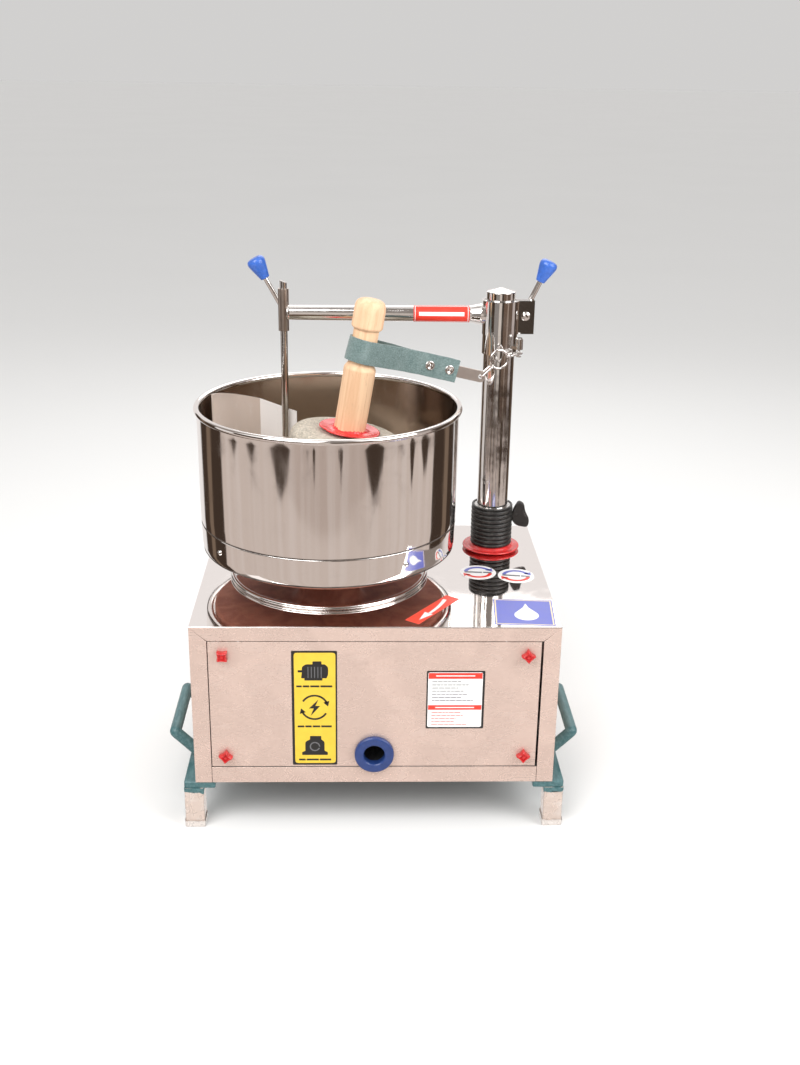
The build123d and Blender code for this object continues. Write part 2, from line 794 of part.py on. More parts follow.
def make_rod_sleeve():
    with BuildPart() as rod_sleeve:
        with BuildSketch(Plane.XY.offset(SLEEVE_LOW)):
            with Locations((ROD_X, POST_Y)):
                Circle(SLEEVE_R)
                Circle(ROD_R + RUNNING, mode=Mode.SUBTRACT)
        extrude(amount=SLEEVE_TOP - SLEEVE_LOW)
        with BuildSketch(Plane(origin=(ROD_X, POST_Y + ROD_R + 0.5, LOCK_Z), z_dir=(0, 1, 0))):
            Circle(LOCK_SCREW_R + 0.1)
        extrude(amount=SLEEVE_R, mode=Mode.SUBTRACT)
    return rod_sleeve.part


def make_clamp_bolt():
    """Round-headed bolt through both ears."""
    front = POST_Y - EAR_T - EAR_SLOT / 2
    back = POST_Y + EAR_T + EAR_SLOT / 2
    plane = Plane(origin=(BOLT_X, front, BOLT_Z), x_dir=(1, 0, 0), z_dir=(0, 0, 1))
    tail = back - front + BOLT_TAIL
    outline = [(0, -BOLT_HEAD_T), (BOLT_HEAD_R - 3, 0.4 - BOLT_HEAD_T), (BOLT_HEAD_R - 1, 2 - BOLT_HEAD_T),
               (BOLT_HEAD_R, 0), (BOLT_R, 0), (BOLT_R, tail), (0, tail)]
    return turned(plane, outline)


def lever(pivot_x, pivot_z, hub_y0, hub_y1, hub_r, bore_r, tilt, stem_r, length):
    """Hub on a fore-and-aft axis with a stem that leans by tilt from upright."""
    lean = math.radians(tilt)
    middle = (hub_y0 + hub_y1) / 2
    tip = (pivot_x + length * math.sin(lean), middle, pivot_z + length * math.cos(lean))
    stem = rod((pivot_x, middle, pivot_z), tip, stem_r)
    with BuildPart() as piece:
        add(stem)
        with BuildSketch(Plane(origin=(pivot_x, hub_y0, pivot_z), z_dir=(0, 1, 0))):
            Circle(hub_r)
        extrude(amount=hub_y1 - hub_y0)
        if bore_r:
            with BuildSketch(Plane(origin=(pivot_x, hub_y0 - 1, pivot_z), z_dir=(0, 1, 0))):
                Circle(bore_r)
            extrude(amount=hub_y1 - hub_y0 - 3, mode=Mode.SUBTRACT)
    return piece.part


def lever_knob(pivot_x, pivot_z, middle_y, tilt, stem_r, length):
    """Conical plastic knob pressed over the end of a lever stem."""
    lean = math.radians(tilt)
    plane = Plane(origin=(pivot_x, middle_y, pivot_z), x_dir=(math.cos(lean), 0, -math.sin(lean)),
                  z_dir=(0, -1, 0))
    start = length - KNOB_GRIP
    end = length + LEVER_KNOB
    outline = [(stem_r, start), (KNOB_NECK_R, start), (KNOB_NECK_R + 0.8, start + 2),
               (KNOB_END_R - 0.2, end - 8), (KNOB_END_R, end - 5), (KNOB_END_R - 1.7, end - 1.8),
               (KNOB_END_R - 5.2, end), (0, end), (0, length), (stem_r, length)]
    return turned(plane, outline)


CLAMP_HUB = (POST_Y + EAR_T + EAR_SLOT / 2 + 0.3, POST_Y + EAR_T + EAR_SLOT / 2 + 15)
LOCK_HUB = (POST_Y + SLEEVE_R + 1.2, POST_Y + SLEEVE_R + 12)


def make_clamp_lever():
    return lever(BOLT_X, BOLT_Z, *CLAMP_HUB, CLAMP_HUB_R, BOLT_R + RUNNING, CLAMP_LEVER_TILT, CLAMP_STEM_R,
                 CLAMP_STEM)


def make_clamp_lever_knob():
    middle = sum(CLAMP_HUB) / 2
    return lever_knob(BOLT_X, BOLT_Z, middle, CLAMP_LEVER_TILT, CLAMP_STEM_R, CLAMP_STEM)


def make_rod_lock_lever():
    """Lever with a pinch screw that reaches through the sleeve to the rod."""
    body = lever(ROD_X, LOCK_Z, *LOCK_HUB, LOCK_HUB_R, 0, LOCK_LEVER_TILT, LOCK_STEM_R, LOCK_STEM)
    with BuildPart() as rod_lock_lever:
        add(body)
        with BuildSketch(Plane(origin=(ROD_X, POST_Y + ROD_R + 0.6, LOCK_Z), z_dir=(0, 1, 0))):
            Circle(LOCK_SCREW_R)
        extrude(amount=4)
    return rod_lock_lever.part


def make_rod_lock_knob():
    return lever_knob(ROD_X, LOCK_Z, sum(LOCK_HUB) / 2, LOCK_LEVER_TILT, LOCK_STEM_R, LOCK_STEM)


# ---- scraper ----
def make_scraper_rod():
    """Straight rod with a slanted upper end."""
    with BuildPart() as scraper_rod:
        with BuildSketch(Plane.XY.offset(ROD_LOW)):
            with Locations((ROD_X, POST_Y)):
                Circle(ROD_R)
        extrude(amount=ROD_TOP - ROD_LOW)
        slope = (math.sin(ROD_SLANT), 0, math.cos(ROD_SLANT))
        slant = Plane(origin=(ROD_X, POST_Y, ROD_TOP - ROD_R * math.tan(ROD_SLANT)), z_dir=slope)
        split(bisect_by=slant, keep=Keep.BOTTOM)
    return scraper_rod.part


def from_drum(radius, angle):
    """Plan position at a radius and angle from the drum's axis."""
    turn = math.radians(angle)
    return (DRUM_X + radius * math.cos(turn), DRUM_Y + radius * math.sin(turn))


def blade_start():
    """Free end of the flat part, set so that the sheet's back face touches the rod."""
    reach = ROD_R + BLADE_T / 2
    dx = BLADE_FOLD[0] - ROD_X
    dy = BLADE_FOLD[1] - POST_Y
    bearing = math.atan2(dy, dx) + math.asin(reach / math.hypot(dx, dy))
    span = math.sqrt(dx * dx + dy * dy - reach * reach) + BLADE_PAST_ROD
    return (BLADE_FOLD[0] - span * math.cos(bearing), BLADE_FOLD[1] - span * math.sin(bearing))


def make_scraper_blade():
    """Sheet folded once: a flat part on the rod and a curved part that follows the drum wall."""
    with BuildPart() as scraper_blade:
        with BuildSketch(Plane.XY.offset(BLADE_LOW)):
            with BuildLine() as route:
                Line(blade_start(), BLADE_FOLD)
                ThreePointArc(BLADE_FOLD, from_drum(*BLADE_MIDDLE), from_drum(*BLADE_END))
            trace(line_width=BLADE_T)
        extrude(amount=BIG)
        low_corner = blade_start()
        slope = Plane(origin=(low_corner[0], low_corner[1], BLADE_TOP), z_dir=BLADE_SLOPE)
        split(bisect_by=slope, keep=Keep.BOTTOM)
    return scraper_blade.part


# ---- drum ----
def make_drum_wall():
    low_r = DRUM_LOW_R + 1.2
    high_r = DRUM_RIM_R - RIM_BEAD
    outline = [(low_r - DRUM_WALL, DRUM_SEAM), (low_r - 0.7, DRUM_SEAM), (low_r, DRUM_SEAM + 1),
               (high_r, DRUM_TOP - 7), (high_r, DRUM_TOP - 4), (high_r - DRUM_WALL, DRUM_TOP - 4)]
    wall = turned(spin_plane(DRUM_X, DRUM_Y), outline)
    with BuildPart() as drum_wall:
        add(wall)
        with Locations((DRUM_X, DRUM_Y, DRUM_TOP - RIM_BEAD)):
            Torus(high_r, RIM_BEAD)
    return drum_wall.part


def make_drum_pan():
    """Shallow pressed pan that closes the drum's bottom, with a small foot bead."""
    low_r = DRUM_LOW_R
    seam_r = DRUM_LOW_R + 1.2
    floor = DRUM_LOW + PAN_FLOOR
    outline = [(0, floor), (low_r - 9, floor), (low_r - 7, DRUM_LOW), (low_r - 3.5, DRUM_LOW),
               (low_r - 1.2, floor), (low_r, DRUM_LOW + 6), (seam_r, DRUM_SEAM - 1),
               (seam_r - 0.7, DRUM_SEAM), (seam_r - DRUM_WALL, DRUM_SEAM),
               (low_r - DRUM_WALL, DRUM_LOW + 7), (low_r - 4, floor + PAN_FLOOR), (0, floor + PAN_FLOOR)]
    return turned(spin_plane(DRUM_X, DRUM_Y), outline)


def make_pan_rivets():
    """Domed rivet heads on the pan's band."""
    rivets = []
    for step in range(4):
        angle = RIVET_START + 90 * step
        surface_r = DRUM_LOW_R + 0.65
        x, y = from_drum(surface_r, angle)
        outward = (math.cos(math.radians(angle)), math.sin(math.radians(angle)), 0)
        plane = Plane(origin=(x, y, RIVET_Z), x_dir=(0, 0, 1), z_dir=outward)
        with BuildPart() as head:
            with BuildSketch(plane.offset(0.2)):
                Circle(RIVET_R)
            extrude(amount=RIVET_H)
            fillet(head.faces().sort_by(Axis(plane.origin, outward))[-1].edges(), 1.2)
        rivets.append(head.part)
    return group(rivets)


def make_bed_stone():
    """Granite bed with a round bowl in which the roller sits."""
    bowl_half = math.sqrt(BOWL_R ** 2 - (BOWL_Z - BED_TOP) ** 2)
    middle_angle = math.asin(bowl_half / BOWL_R) / 2
    middle = (BOWL_R * math.sin(middle_angle), BOWL_Z - BOWL_R * math.cos(middle_angle))
    with BuildPart() as bed_stone:
        with BuildSketch(spin_plane(DRUM_X, DRUM_Y)):
            with BuildLine():
                Line((0, BED_LOW), (BED_R, BED_LOW))
                Line((BED_R, BED_LOW), (BED_R, BED_TOP - BED_CHAMFER))
                Line((BED_R, BED_TOP - BED_CHAMFER), (BED_R - BED_CHAMFER, BED_TOP))
                Line((BED_R - BED_CHAMFER, BED_TOP), (bowl_half, BED_TOP))
                ThreePointArc((bowl_half, BED_TOP), middle, (0, BOWL_Z - BOWL_R))
                Line((0, BOWL_Z - BOWL_R), (0, BED_LOW))
            make_face()
        revolve(axis=Axis((DRUM_X, DRUM_Y, 0), (0, 0, 1)))
    return bed_stone.part


def make_turntable():
    """Cast disc with a hub that carries the drum on the output shaft."""
    outline = [(SHAFT_R, TABLE_HUB_LOW), (TABLE_HUB_R - 2, TABLE_HUB_LOW), (TABLE_HUB_R, TABLE_HUB_LOW + 2),
               (TABLE_HUB_R, TABLE_HUB_TOP), (TABLE_HUB_R + TABLE_FLARE, TABLE_LOW),
               (TABLE_R - 1, TABLE_LOW + 2),
               (TABLE_R, TABLE_LOW + 3), (TABLE_R, TABLE_TOP - 1), (TABLE_R - 1, TABLE_TOP),
               (SHAFT_R, TABLE_TOP)]
    return turned(spin_plane(DRUM_X, DRUM_Y), outline)


def make_output_shaft():
    outline = [(0, SHAFT_LOW), (SHAFT_R - 1, SHAFT_LOW), (SHAFT_R, SHAFT_LOW + 1), (SHAFT_R, TABLE_TOP),
               (0, TABLE_TOP)]
    return turned(spin_plane(DRUM_X, DRUM_Y), outline)


def make_worm_wheel():
    tooth = 360.0 / WHEEL_TEETH
    with BuildPart() as worm_wheel:
        with BuildSketch(Plane.XY.offset(WHEEL_Z)):
            with Locations((DRUM_X, DRUM_Y)):
                Circle(WHEEL_R)
                Circle(SHAFT_R, mode=Mode.SUBTRACT)
                with PolarLocations(WHEEL_R, WHEEL_TEETH, start_angle=tooth / 2):
                    Rectangle(2 * TOOTH_DEPTH, TOOTH_W, mode=Mode.SUBTRACT)
        extrude(amount=WHEEL_T)
    return worm_wheel.part


def make_worm_shaft():
    """Input shaft with a threaded-looking worm in the middle of the gearbox."""
    plane = Plane(origin=(WORM_X, 0, WORM_Z), x_dir=(1, 0, 0), z_dir=(0, 0, 1))
    root = WORM_R - WORM_DEPTH
    outline = [(0, -CASE_Y + 1), (WORM_SHAFT_R, -CASE_Y + 1), (WORM_SHAFT_R, -WORM_HALF), (root, -WORM_HALF)]
    for turn in range(WORM_TURNS):
        y = WORM_PITCH * (turn - WORM_TURNS / 2)
        outline += [(root, y), (WORM_R, y + 2), (WORM_R, y + 5), (root, y + 7)]
    outline += [(root, WORM_HALF), (WORM_SHAFT_R, WORM_HALF), (WORM_SHAFT_R, SHAFT_END_Y), (0, SHAFT_END_Y)]
    return turned(plane, outline)


# ---- gearbox, motor and belt ----
def make_gearbox_housing():
    with BuildPart() as gearbox_housing:
        add(block(CASE_X0, CASE_X1, -CASE_Y, CASE_Y, CASE_LOW, CASE_HIGH, edge=CASE_EDGE))
        add(block(CASE_X0 + CASE_WALL, CASE_X1 - CASE_WALL, -CASE_Y + CASE_WALL, CASE_Y - CASE_WALL,
                  CASE_LOW + CASE_FLOOR, CASE_HIGH, edge=CASE_EDGE - 6), mode=Mode.SUBTRACT)
        with BuildSketch(Plane.XY.offset(SEAT_Z)):
            with Locations((DRUM_X, DRUM_Y)):
                Circle(BEARING_R)
        extrude(amount=SEAT_T + 2, mode=Mode.SUBTRACT)
        with BuildSketch(Plane(origin=(WORM_X, -CASE_Y, WORM_Z), z_dir=(0, 1, 0))):
            Circle(SMALL_BEARING_R)
        extrude(amount=2 * CASE_Y, mode=Mode.SUBTRACT)
    return gearbox_housing.part


def make_gearbox_lid():
    lid = block(CASE_X0, CASE_X1, -CASE_Y, CASE_Y, CASE_HIGH, CASE_HIGH + LID_T, edge=CASE_EDGE)
    with BuildPart() as gearbox_lid:
        add(lid)
        with BuildSketch(Plane.XY.offset(CASE_HIGH)):
            with Locations((DRUM_X, DRUM_Y)):
                Circle(BEARING_R)
        extrude(amount=LID_T, mode=Mode.SUBTRACT)
        across = CASE_X1 - CASE_X0 - 2 * LID_BOLT_INSET
        with BuildSketch(Plane.XY.offset(CASE_HIGH + LID_T)):
            with Locations(((CASE_X0 + CASE_X1) / 2, 0)):
                with GridLocations(across, 2 * (CASE_Y - LID_BOLT_INSET), 2, 2):
                    RegularPolygon(LID_BOLT_R, 6)
        extrude(amount=LID_BOLT_H)
    return gearbox_lid.part


def ring(plane, inner, outer, width):
    with BuildPart() as piece:
        with BuildSketch(plane):
            Circle(outer)
            Circle(inner, mode=Mode.SUBTRACT)
        extrude(amount=width)
    return piece.part


def make_bearings():
    """Output bearings in the case floor and lid, worm bearings in the case ends."""
    low = Plane(origin=(DRUM_X, DRUM_Y, SEAT_Z))
    high = Plane(origin=(DRUM_X, DRUM_Y, CASE_HIGH))
    front = Plane(origin=(WORM_X, -CASE_Y, WORM_Z), z_dir=(0, 1, 0))
    back = Plane(origin=(WORM_X, CASE_Y - CASE_WALL, WORM_Z), z_dir=(0, 1, 0))
    return group([
        ring(low, SHAFT_R + RUNNING, BEARING_R, SEAT_T),
        ring(high, SHAFT_R + RUNNING, BEARING_R, LID_T),
        ring(front, WORM_SHAFT_R + RUNNING, SMALL_BEARING_R, CASE_WALL),
        ring(back, WORM_SHAFT_R + RUNNING, SMALL_BEARING_R, CASE_WALL),
    ])


def pulley(x, z, shaft_r, groove_r):
    """Single-groove belt pulley on a fore-and-aft shaft."""
    plane = Plane(origin=(x, PULLEY_Y, z), x_dir=(1, 0, 0), z_dir=(0, 0, 1))
    lip = groove_r + PULLEY_LIP
    half = PULLEY_W / 2
    groove = GROOVE_W / 2
    outline = [(shaft_r, -half), (lip, -half), (lip, -groove), (groove_r, -groove), (groove_r, groove),
               (lip, groove), (lip, half), (shaft_r, half)]
    return turned(plane, outline)


def make_gearbox_pulley():
    return pulley(WORM_X, WORM_Z, WORM_SHAFT_R, BIG_GROOVE_R)


def make_motor_pulley():
    return pulley(MOTOR_X, MOTOR_Z, WORM_SHAFT_R, SMALL_GROOVE_R)


def make_drive_belt():
    plane = Plane(origin=(0, PULLEY_Y + BELT_W / 2, 0), x_dir=(1, 0, 0), z_dir=(0, -1, 0))
    with BuildPart() as drive_belt:
        for extra, mode in ((BELT_GAP + BELT_T, Mode.ADD), (BELT_GAP, Mode.SUBTRACT)):
            with BuildSketch(plane):
                with Locations((WORM_X, WORM_Z)):
                    Circle(BIG_GROOVE_R + extra)
                with Locations((MOTOR_X, MOTOR_Z)):
                    Circle(SMALL_GROOVE_R + extra)
                make_hull()
            extrude(amount=BELT_W, mode=mode)
    return drive_belt.part


def make_motor_housing():
    """Finned stator frame with end walls and two feet."""
    length = MOTOR_Y1 - MOTOR_Y0
    with BuildPart() as motor_housing:
        with BuildSketch(Plane(origin=(MOTOR_X, MOTOR_Y0, MOTOR_Z), z_dir=(0, 1, 0))):
            Circle(MOTOR_R - FIN_DEPTH)
            with PolarLocations(MOTOR_R - FIN_DEPTH, MOTOR_FINS):
                Rectangle(2 * FIN_DEPTH, FIN_W)
        extrude(amount=length)
        with BuildSketch(Plane.XY.offset(PLATE_TOP)):
            with Locations((MOTOR_X, MOTOR_Y0 + FOOT_INSET), (MOTOR_X, MOTOR_Y1 - FOOT_INSET)):
                Rectangle(FOOT_L, FOOT_W)
        extrude(amount=FOOT_H)
        with BuildSketch(Plane(origin=(MOTOR_X, MOTOR_Y0 + MOTOR_END, MOTOR_Z), z_dir=(0, 1, 0))):
            Circle(STATOR_BORE)
        extrude(amount=length - 2 * MOTOR_END, mode=Mode.SUBTRACT)
        with BuildSketch(Plane(origin=(MOTOR_X, MOTOR_Y0, MOTOR_Z), z_dir=(0, 1, 0))):
            Circle(WORM_SHAFT_R + RUNNING)
        extrude(amount=length, mode=Mode.SUBTRACT)
    return motor_housing.part


def make_motor_rotor():
    """Rotor core on its shaft, which reaches back to the small pulley."""
    core = STATOR_BORE - ROTOR_GAP
    plane = Plane(origin=(MOTOR_X, 0, MOTOR_Z), x_dir=(1, 0, 0), z_dir=(0, 0, 1))
    low = MOTOR_Y0 + ROTOR_END
    high = MOTOR_Y1 - ROTOR_END
    outline = [(0, MOTOR_Y0 + 2), (WORM_SHAFT_R, MOTOR_Y0 + 2), (WORM_SHAFT_R, low), (core, low),
               (core, high), (WORM_SHAFT_R, high), (WORM_SHAFT_R, SHAFT_END_Y), (0, SHAFT_END_Y)]
    return turned(plane, outline)


def make_motor_capacitor():
    top = CAPACITOR_TOP
    outline = [(0, PLATE_TOP), (CAPACITOR_R, PLATE_TOP), (CAPACITOR_R, top - 2), (CAPACITOR_R - 2, top),
               (TERMINAL_R, top), (TERMINAL_R, top + TERMINAL_H), (0, top + TERMINAL_H)]
    return turned(spin_plane(CAPACITOR_X, CAPACITOR_Y), outline)


# ---- roller ----
def make_roller_stone():
    low = STONE_BALL_T - STONE_BALL_R
    half = STONE_BALL_R * math.sqrt(0.5)
    corner = STONE_EDGE * (1 - math.sqrt(0.5))
    with BuildPart() as roller_stone:
        with BuildSketch(lean_plane(0)):
            with BuildLine():
                Line((SPIGOT_R, 0), (STONE_R - STONE_EDGE, 0))
                ThreePointArc((STONE_R - STONE_EDGE, 0), (STONE_R - corner, -corner), (STONE_R, -STONE_EDGE))
                Line((STONE_R, -STONE_EDGE), (STONE_BALL_R, STONE_BALL_T))
                ThreePointArc((STONE_BALL_R, STONE_BALL_T), (half, STONE_BALL_T - half), (0, low))
                Line((0, low), (0, SPIGOT_T))
                Line((0, SPIGOT_T), (SPIGOT_R, SPIGOT_T))
                Line((SPIGOT_R, SPIGOT_T), (SPIGOT_R, 0))
            make_face()
        revolve(axis=Axis(lean_plane(0).origin, lean_plane(0).y_dir))
    return roller_stone.part


def make_stone_collar():
    """Thin dished collar round the foot of the handle."""
    outline = [(HANDLE_R, 0), (COLLAR_FLAT_R, 0), (COLLAR_R, COLLAR_RISE), (COLLAR_R, COLLAR_TOP),
               (COLLAR_FLAT_R, COLLAR_T), (HANDLE_R, COLLAR_T)]
    return turned(lean_plane(0), outline)


def make_wood_handle():
    """Turned handle: spigot in the stone, straight grip, neck for the strap, and a rounded head."""
    outline = [(0, SPIGOT_T), (SPIGOT_R, SPIGOT_T), (SPIGOT_R, 0), (HANDLE_R, 0), (HANDLE_R, SHOULDER_T),
               (NECK_R, NECK_T), (NECK_R, CAP_T), (HANDLE_CAP_R, CAP_T + 1.5),
               (HANDLE_CAP_R, HANDLE_TOP_T - 9), (HANDLE_CAP_R - 2.5, HANDLE_TOP_T - 3.5),
               (HANDLE_CAP_R - 7.5, HANDLE_TOP_T), (0, HANDLE_TOP_T)]
    return turned(lean_plane(0), outline)


# ---- strap and chain ----
def make_strap():
    """Doubled strap: a loop round the handle's neck whose two layers join towards the post."""
    with BuildPart() as strap:
        with BuildSketch(strap_plane().offset(-STRAP_W / 2)):
            Circle(STRAP_LOOP_R + STRAP_LAYER)
            with Locations((STRAP_JOIN, 0)):
                Circle(STRAP_LAYER)
            make_hull()
            with Locations(((STRAP_JOIN + STRAP_END) / 2, 0)):
                Rectangle(STRAP_END - STRAP_JOIN, 2 * STRAP_LAYER)
        extrude(amount=STRAP_W)
        with BuildSketch(strap_plane().offset(-STRAP_W / 2)):
            Circle(STRAP_LOOP_R)
            with Locations((STRAP_JOIN - 10, 0)):
                Circle(0.3)
            make_hull()
        extrude(amount=STRAP_W, mode=Mode.SUBTRACT)
        with BuildSketch(strap_plane().offset(-TONGUE_W / 2)):
            with Locations(((TONGUE_START + STRAP_END) / 2 + 1, 0)):
                Rectangle(STRAP_END - TONGUE_START + 2, TONGUE_T)
        extrude(amount=TONGUE_W, mode=Mode.SUBTRACT)
        with BuildSketch(strap_face_plane(-STRAP_LAYER - 1)):
            with Locations(*[(x, 0) for x in RIVET_AT]):
                Circle(STRAP_RIVET_R)
        extrude(amount=2 * STRAP_LAYER + 2, mode=Mode.SUBTRACT)
    return strap.part


def strap_face_plane(depth):
    """Plane of the strap's broad face: local X along the strap, local Z through its thickness."""
    edge = strap_plane()
    origin = edge.origin + edge.y_dir * depth
    return Plane(origin=origin, x_dir=edge.x_dir, z_dir=edge.y_dir)


def make_strap_rivets():
    rivets = []
    for at in RIVET_AT:
        with BuildPart() as rivet:
            with BuildSketch(strap_face_plane(-STRAP_LAYER - STRAP_HEAD_T)):
                with Locations((at, 0)):
                    Circle(STRAP_HEAD_R)
            extrude(amount=STRAP_HEAD_T)
            with BuildSketch(strap_face_plane(STRAP_LAYER)):
                with Locations((at, 0)):
                    Circle(STRAP_HEAD_R)
            extrude(amount=STRAP_HEAD_T)
            with BuildSketch(strap_face_plane(-STRAP_LAYER)):
                with Locations((at, 0)):
                    Circle(STRAP_RIVET_R)
            extrude(amount=2 * STRAP_LAYER)
        rivets.append(rivet.part)
    return group(rivets)


def make_strap_link():
    """Flat steel tongue between the strap's layers, with a hole for the chain."""
    with BuildPart() as strap_link:
        with BuildSketch(strap_face_plane(-TONGUE_T / 2)):
            with Locations(((TONGUE_START + TONGUE_END) / 2, 0)):
                RectangleRounded(TONGUE_END - TONGUE_START, TONGUE_W, TONGUE_EDGE)
            with Locations(*[(x, 0) for x in RIVET_AT]):
                Circle(STRAP_RIVET_R, mode=Mode.SUBTRACT)
            with Locations((TONGUE_HOLE, 0)):
                Circle(TONGUE_HOLE_R, mode=Mode.SUBTRACT)
        extrude(amount=TONGUE_T)
    return strap_link.part


def chain_link(start, end, side):
    """Flat oval link whose end wires pass through start and end; side lies in the link's plane."""
    along = Vector(*end) - Vector(*start)
    normal = along.cross(Vector(*side)).normalized()
    middle = (Vector(*start) + Vector(*end)) * 0.5
    length = along.length
    with BuildPart() as link:
        with BuildSketch(Plane(origin=middle - normal * (WIRE / 2), x_dir=along, z_dir=normal)):
            SlotOverall(length + WIRE, LINK_W + WIRE)
            SlotOverall(length - WIRE, LINK_W - WIRE, mode=Mode.SUBTRACT)
        extrude(amount=WIRE)
    return link.part


def make_tether_chain():
    """Oval link, round ring and second oval link from the strap's tongue to the collar's lug."""
    edge = strap_plane()
    hole = edge.origin + edge.x_dir * TONGUE_HOLE
    turn = math.radians(STRAP_TURN)
    along = Vector(math.cos(turn), math.sin(turn), 0)
    centre = Vector(*RING_AT)

    def on_ring(degrees):
        angle = math.radians(degrees)
        return centre + (along * math.cos(angle) + Vector(0, 0, math.sin(angle))) * BIG_RING_R

    low = on_ring(RING_LOW_TURN + 180)
    high = on_ring(RING_HIGH_TURN)
    lug = lug_point() + (lug_point() - high).normalized() * (LUG_PIN_R + WIRE / 2 + 0.2)
    with BuildPart() as big_ring:
        with BuildSketch(Plane(origin=centre - edge.y_dir * (WIRE / 2), x_dir=along, z_dir=edge.y_dir)):
            Circle(BIG_RING_R + WIRE / 2)
            Circle(BIG_RING_R - WIRE / 2, mode=Mode.SUBTRACT)
        extrude(amount=WIRE)
    first = chain_link(tuple(hole), tuple(low), tuple(edge.y_dir))
    second = chain_link(tuple(high), tuple(lug), (0, 1, 0))
    return group([first, big_ring.part, second])


PIECES = {
    "side_rails": make_side_rails,
    "cross_members": make_cross_members,
    "legs": make_legs,
    "leg_caps": make_leg_caps,
    "mount_plate": make_mount_plate,
    "side_handles": make_side_handles,
    "side_panels": make_side_panels,
    "top_plate": make_top_plate,
    "front_frame": lambda: frame_strips(-FRONT_Y),
    "back_frame": lambda: frame_strips(FRONT_Y),
    "front_panel": lambda: make_panel(-PANEL_Y, True),
    "back_panel": lambda: make_panel(PANEL_Y, False),
    "panel_knobs": make_panel_knobs,
    "cable_grommet": make_cable_grommet,
    "guard_ring": make_guard_ring,
    "labels": make_labels,
    "post_socket": make_post_socket,
    "post_flange": make_post_flange,
    "post_boot": make_post_boot,
    "post_tube": make_post_tube,
    "post_cap": make_post_cap,
    "stop_collar": make_stop_collar,
    "wing_knob": make_wing_knob,
    "arm_clamp": make_arm_clamp,
    "arm_tube": make_arm_tube,
    "arm_label": make_arm_label,
    "rod_sleeve": make_rod_sleeve,
    "clamp_bolt": make_clamp_bolt,
    "clamp_lever": make_clamp_lever,
    "clamp_lever_knob": make_clamp_lever_knob,
    "rod_lock_lever": make_rod_lock_lever,
    "rod_lock_knob": make_rod_lock_knob,
    "scraper_rod": make_scraper_rod,
    "scraper_blade": make_scraper_blade,
    "drum_wall": make_drum_wall,
    "drum_pan": make_drum_pan,
    "pan_rivets": make_pan_rivets,
    "bed_stone": make_bed_stone,
    "turntable": make_turntable,
    "output_shaft": make_output_shaft,
    "worm_wheel": make_worm_wheel,
    "worm_shaft": make_worm_shaft,
    "gearbox_housing": make_gearbox_housing,
    "gearbox_lid": make_gearbox_lid,
    "bearings": make_bearings,
    "gearbox_pulley": make_gearbox_pulley,
    "motor_pulley": make_motor_pulley,
    "drive_belt": make_drive_belt,
    "motor_housing": make_motor_housing,
    "motor_rotor": make_motor_rotor,
    "motor_capacitor": make_motor_capacitor,
    "roller_stone": make_roller_stone,
    "stone_collar": make_stone_collar,
    "wood_handle": make_wood_handle,
    "strap": make_strap,
    "strap_rivets": make_strap_rivets,
    "strap_link": make_strap_link,
    "tether_chain": make_tether_chain,
}

os.makedirs("parts", exist_ok=True)
for name, make in PIECES.items():
    piece = make()
    piece.label = name
    export_step(piece, f"parts/{name}.step")
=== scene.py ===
"""Tabletop wet grinder: the finished pieces of each sub-assembly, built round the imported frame.

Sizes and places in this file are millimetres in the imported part's own frame, with +Z up and the front
facing -Y. Each mesh is written in metres when its piece is done.
"""

import logging
import math
import random
from dataclasses import dataclass
from enum import Enum
from typing import Callable, Iterable, Sequence

import bmesh
import bpy
from mathutils import Matrix, Vector, noise


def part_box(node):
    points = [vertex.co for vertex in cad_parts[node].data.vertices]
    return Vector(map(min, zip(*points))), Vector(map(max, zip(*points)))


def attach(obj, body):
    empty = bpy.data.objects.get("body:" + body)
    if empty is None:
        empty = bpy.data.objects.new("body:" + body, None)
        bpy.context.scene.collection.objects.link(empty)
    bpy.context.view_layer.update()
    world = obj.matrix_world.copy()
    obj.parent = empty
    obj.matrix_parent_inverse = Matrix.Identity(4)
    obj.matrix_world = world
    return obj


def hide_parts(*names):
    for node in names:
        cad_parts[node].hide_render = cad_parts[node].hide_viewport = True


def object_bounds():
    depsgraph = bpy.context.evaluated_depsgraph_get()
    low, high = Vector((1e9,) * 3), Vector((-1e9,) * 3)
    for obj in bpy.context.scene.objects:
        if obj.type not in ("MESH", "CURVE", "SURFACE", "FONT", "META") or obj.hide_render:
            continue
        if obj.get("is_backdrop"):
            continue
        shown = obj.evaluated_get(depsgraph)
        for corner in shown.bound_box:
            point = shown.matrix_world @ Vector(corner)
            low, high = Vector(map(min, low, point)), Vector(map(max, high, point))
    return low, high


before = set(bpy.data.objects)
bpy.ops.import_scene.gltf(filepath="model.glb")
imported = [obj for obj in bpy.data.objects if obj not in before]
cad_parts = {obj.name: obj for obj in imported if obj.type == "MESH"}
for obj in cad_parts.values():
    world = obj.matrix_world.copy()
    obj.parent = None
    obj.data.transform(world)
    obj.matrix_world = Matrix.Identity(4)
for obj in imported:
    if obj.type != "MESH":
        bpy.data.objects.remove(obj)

log = logging.getLogger("grinder")

MM = 0.001
Point2 = Sequence[float]
Colour = tuple[float, float, float]
Warp = Callable[[float, float, float], tuple[float, float]]


class Body(Enum):
    """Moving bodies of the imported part."""

    CHASSIS = "chassis"
    WING = "wing_screw"
    ARM = "arm"
    CLAMP_HANDLE = "clamp_handle"
    LOCK_HANDLE = "lock_handle"
    SCRAPER = "scraper"
    DRUM = "drum"
    WORM = "worm"
    ROTOR = "rotor"
    ROLLER = "roller"


# ---------------------------------------------------------------- places and outlines


